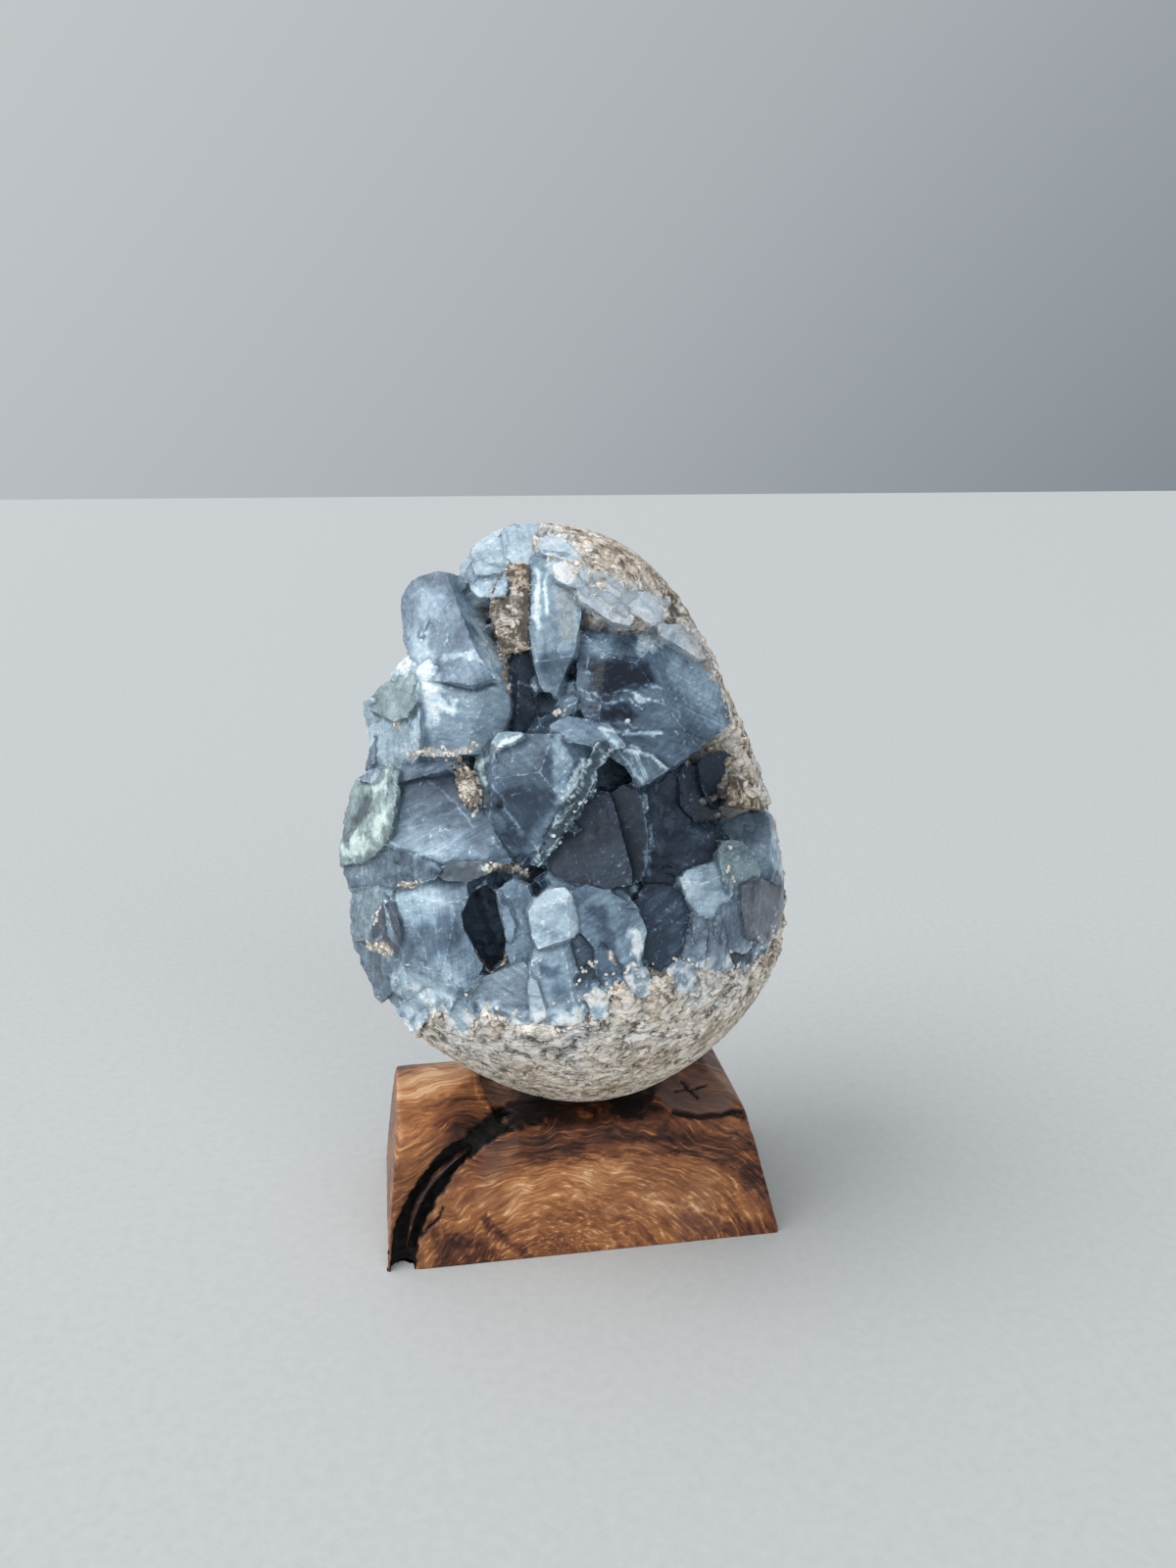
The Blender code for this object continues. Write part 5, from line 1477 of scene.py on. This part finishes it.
oak = Finish("oiled_oak")
bark, splits, light = (oak.value_of(name) for name in ("bark", "splits", "light"))
dark, grey, burnt = (oak.value_of(name) for name in ("dark", "grey", "burnt_edge"))
heart = tuple(front_edge + Vector((-6.0, 2.0, -2.0)) * MM)
waved = oak.bent(oak.bent(oak.place, 26.0, 16.0), 5.0, 2.0)
ring_place = oak.stretched((1.75, 1.0, 1.0), middle=heart, place=waved)
radius = oak.add("ShaderNodeVectorMath", {"operation": "LENGTH"}, {0: ring_place}, output="Value") * (1 / MM)
sides = oak.add("ShaderNodeSeparateXYZ", values={0: ring_place}, output="X")
height = oak.add("ShaderNodeSeparateXYZ", values={0: ring_place}, output="Z")
around = height.math("ARCTAN2", height, sides) * 22
rings = (radius * 2.1).math("SINE", radius * 2.1) * 0.5 + 0.5
wide_rings = oak.noise(oak.vector(radius * MM), 4.2, 3.0, 0.6)
strokes = oak.noise(oak.vector(radius * MM, around * (0.15 * MM)), 0.52, 4.0, 0.62)
flame = oak.noise(oak.stretched((2.6, 1.0, 0.7), turn=(0, math.radians(-14), 0), place=waved), 1.5, 5.0, 0.65)
pores = oak.noise(oak.stretched((4.5, 1.0, 0.8), place=waved), 0.55, 4.0, 0.7)
zones = oak.noise(oak.place, 17.0, 3.0, 0.5)
# The pale marks add pale wood and painted highlights, and the dark marks add dark wood and painted shadow.
tone = (0.36 + (wide_rings - 0.5) * 0.55 + (rings - 0.5) * 0.05 + (flame - 0.5) * 0.4 + (strokes - 0.5) * 0.7
        + strokes.step(0.54, 0.66) * 0.16 + (pores - 0.5) * 0.15 + (zones - 0.5) * 0.5 + light * 0.35 - dark * 0.34
        - radius.step(14, 34) * 0.11 + 0.05)
grain_colour = oak.ramp(
    tone, (0.0, (0.010, 0.005, 0.004)), (0.14, (0.055, 0.019, 0.010)), (0.30, (0.145, 0.050, 0.022)),
    (0.48, (0.31, 0.122, 0.043)), (0.64, (0.49, 0.235, 0.095)), (0.82, (0.68, 0.43, 0.25)))
grey_share = (zones.step(0.5, 0.75) * 0.25 + grey * (0.35 + flame * 0.5)).clamped()
greyer = oak.blend(grey_share, grain_colour, (0.150, 0.100, 0.085))
char = oak.ramp(flame, (0.4, (0.003, 0.0025, 0.0025)), (0.66, (0.016, 0.012, 0.011)), (0.8, (0.055, 0.042, 0.038)))
charred = oak.blend((bark + splits + burnt * pores.step(0.35, 0.6) * 0.7).clamped(), greyer, char)
oak.surface(oak.add("ShaderNodeBsdfPrincipled", values={
    "Base Color": charred, "Roughness": (0.40 + (pores - 0.5) * 0.35 + bark * 0.5 + splits * 0.4).clamped(),
    "Specular IOR Level": 0.3,
    "Normal": oak.bump(flame * 0.3 + strokes * 0.4 + pores * 0.4 - bark * pores, 0.14)}))
stand_mesh.materials.clear()
stand_mesh.materials.append(oak.material)
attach(stand, "root")
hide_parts("wood_stand")

# ---------------------------------------------------------------------------
# A splinter of wood left standing in the bark crack: a torn dark sliver that runs with the crack and
# tapers to both ends. Its rows are places across, heights and half widths, in millimetres.
SPLINTER = ((-34.3, 4.0, 0.12), (-33.6, 6.5, 0.35), (-32.9, 9.0, 0.5), (-31.6, 11.9, 0.62), (-29.9, 14.4, 0.4),
            (-28.2, 16.3, 0.6), (-26.2, 18.0, 0.5), (-24.2, 19.6, 0.35), (-21.6, 21.3, 0.12))
SPLINTER_SIDES = 8
FRONT_SLOPE = math.tan(math.radians(13.6))
splinter = bmesh.new()
rows = []
for across, height, half_width in SPLINTER:
    row = []
    for corner in range(SPLINTER_SIDES):
        angle = math.tau * corner / SPLINTER_SIDES
        wander = noise.noise(Vector((across, height, corner * 2.7))) * 0.25
        spread = half_width * math.cos(angle) + wander
        depth = height * FRONT_SLOPE + 1.3 + 1.2 * math.sin(angle)
        place = Vector((across + spread * 0.8, depth, height - spread * 0.6))
        row.append(splinter.verts.new(front_edge + place * MM))
    rows.append(row)
for one, two in zip(rows, rows[1:]):
    for corner in range(SPLINTER_SIDES):
        after = (corner + 1) % SPLINTER_SIDES
        splinter.faces.new((one[corner], one[after], two[after], two[corner]))
splinter.faces.new(rows[0][::-1])
splinter.faces.new(rows[-1])
bmesh.ops.recalc_face_normals(splinter, faces=splinter.faces)
bmesh.ops.subdivide_edges(
    splinter, edges=splinter.edges, cuts=2, use_grid_fill=True, fractal=0.35, along_normal=0.3, seed=3)
splinter_mesh = bpy.data.meshes.new("crack_splinter")
splinter.to_mesh(splinter_mesh)
splinter.free()
splinter_item = new_object("crack_splinter", splinter_mesh)
everywhere = np.ones(len(splinter_mesh.vertices))
set_values(splinter_mesh, dark=everywhere * 0.9, burnt_edge=everywhere * 0.6)
splinter_mesh.shade_smooth()
splinter_mesh.materials.append(oak.material)
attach(splinter_item, "root")
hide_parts("wood_stand")

# ---------------------------------------------------------------------------
# The floor for the renders: a plain pale matt sheet.
REACH_OUT = 3
floor_mesh = bpy.data.meshes.new("floor")
floor_corners = [(x * REACH_OUT, y * REACH_OUT, 0) for x, y in ((-1, -1), (1, -1), (1, 1), (-1, 1))]
floor_mesh.from_pydata(floor_corners, [], [(0, 1, 2, 3)])
floor = new_object("floor", floor_mesh)
matt = Finish("matt_white")
fleck = matt.noise(matt.place, 2.0, 5.0, 0.6)
matt.surface(matt.add("ShaderNodeBsdfPrincipled", values={
    "Base Color": matt.ramp(fleck, (0.3, (0.475, 0.49, 0.49)), (0.7, (0.52, 0.53, 0.53))),
    "Roughness": 0.7, "Normal": matt.bump(fleck, 0.05)}))
floor_mesh.materials.append(matt.material)

# ---------------------------------------------------------------------------
# The light: a pale sky that is brightest above and behind on the left and dim on the camera's side, as
# in a room with one window, and a large soft sun through that window.
WINDOW_WAY = (-0.75, 0.12, 0.65)
sky = bpy.data.worlds.new("studio")
bpy.context.scene.world = sky
sky.use_nodes = True
room = sky.node_tree
facing = room.nodes.new("ShaderNodeTexCoord")
toward = room.nodes.new("ShaderNodeVectorMath")
toward.operation = "DOT_PRODUCT"
toward.inputs[1].default_value = Vector(WINDOW_WAY).normalized()
room.links.new(facing.outputs["Generated"], toward.inputs[0])
fade = room.nodes.new("ShaderNodeValToRGB")
set_stops(fade.color_ramp, (
    (0.0, (0.12, 0.14, 0.165)), (0.3, (0.215, 0.245, 0.275)), (0.52, (0.40, 0.43, 0.455)), (0.76, (0.55, 0.58, 0.60)),
    (1.0, (1.35, 1.42, 1.5))))
shift = room.nodes.new("ShaderNodeMath")
shift.operation = "MULTIPLY_ADD"
shift.inputs[1].default_value, shift.inputs[2].default_value = 0.5, 0.5
room.links.new(toward.outputs["Value"], shift.inputs[0])
room.links.new(shift.outputs[0], fade.inputs[0])
room.links.new(fade.outputs[0], room.nodes["Background"].inputs["Color"])
room.nodes["Background"].inputs["Strength"].default_value = 1.0


def soft_sun(name, place, strength, spread, colour=(1, 1, 1)):
    lamp = bpy.data.lights.new(name, "SUN")
    lamp.energy, lamp.angle, lamp.color = strength, math.radians(spread), colour
    item = bpy.data.objects.new(name, lamp)
    bpy.context.scene.collection.objects.link(item)
    item.location = place
    item.rotation_euler = (-Vector(place)).to_track_quat("-Z", "Y").to_euler()
    return item


soft_sun("window", (-0.60, -0.12, 0.62), 1.55, 48, (1.0, 0.98, 0.95))
soft_sun("front_fill", (0.25, -0.8, 0.30), 1.25, 50, (0.97, 0.99, 1.0)).visible_glossy = False

# ---------------------------------------------------------------------------
# The camera, where the photograph was taken from.
camera = bpy.data.objects.new("camera", bpy.data.cameras.new("camera"))
bpy.context.scene.collection.objects.link(camera)
camera.data.lens = FOCAL_PIXELS / (2 * FRAME_MIDDLE[1]) * camera.data.sensor_width
camera.data.clip_start = 0.01
camera.matrix_world = Matrix.Translation(EYE) @ Matrix((RIGHT, UP, -AHEAD)).transposed().to_4x4()
bpy.context.scene.camera = camera
bpy.context.scene.view_settings.view_transform = "Standard"
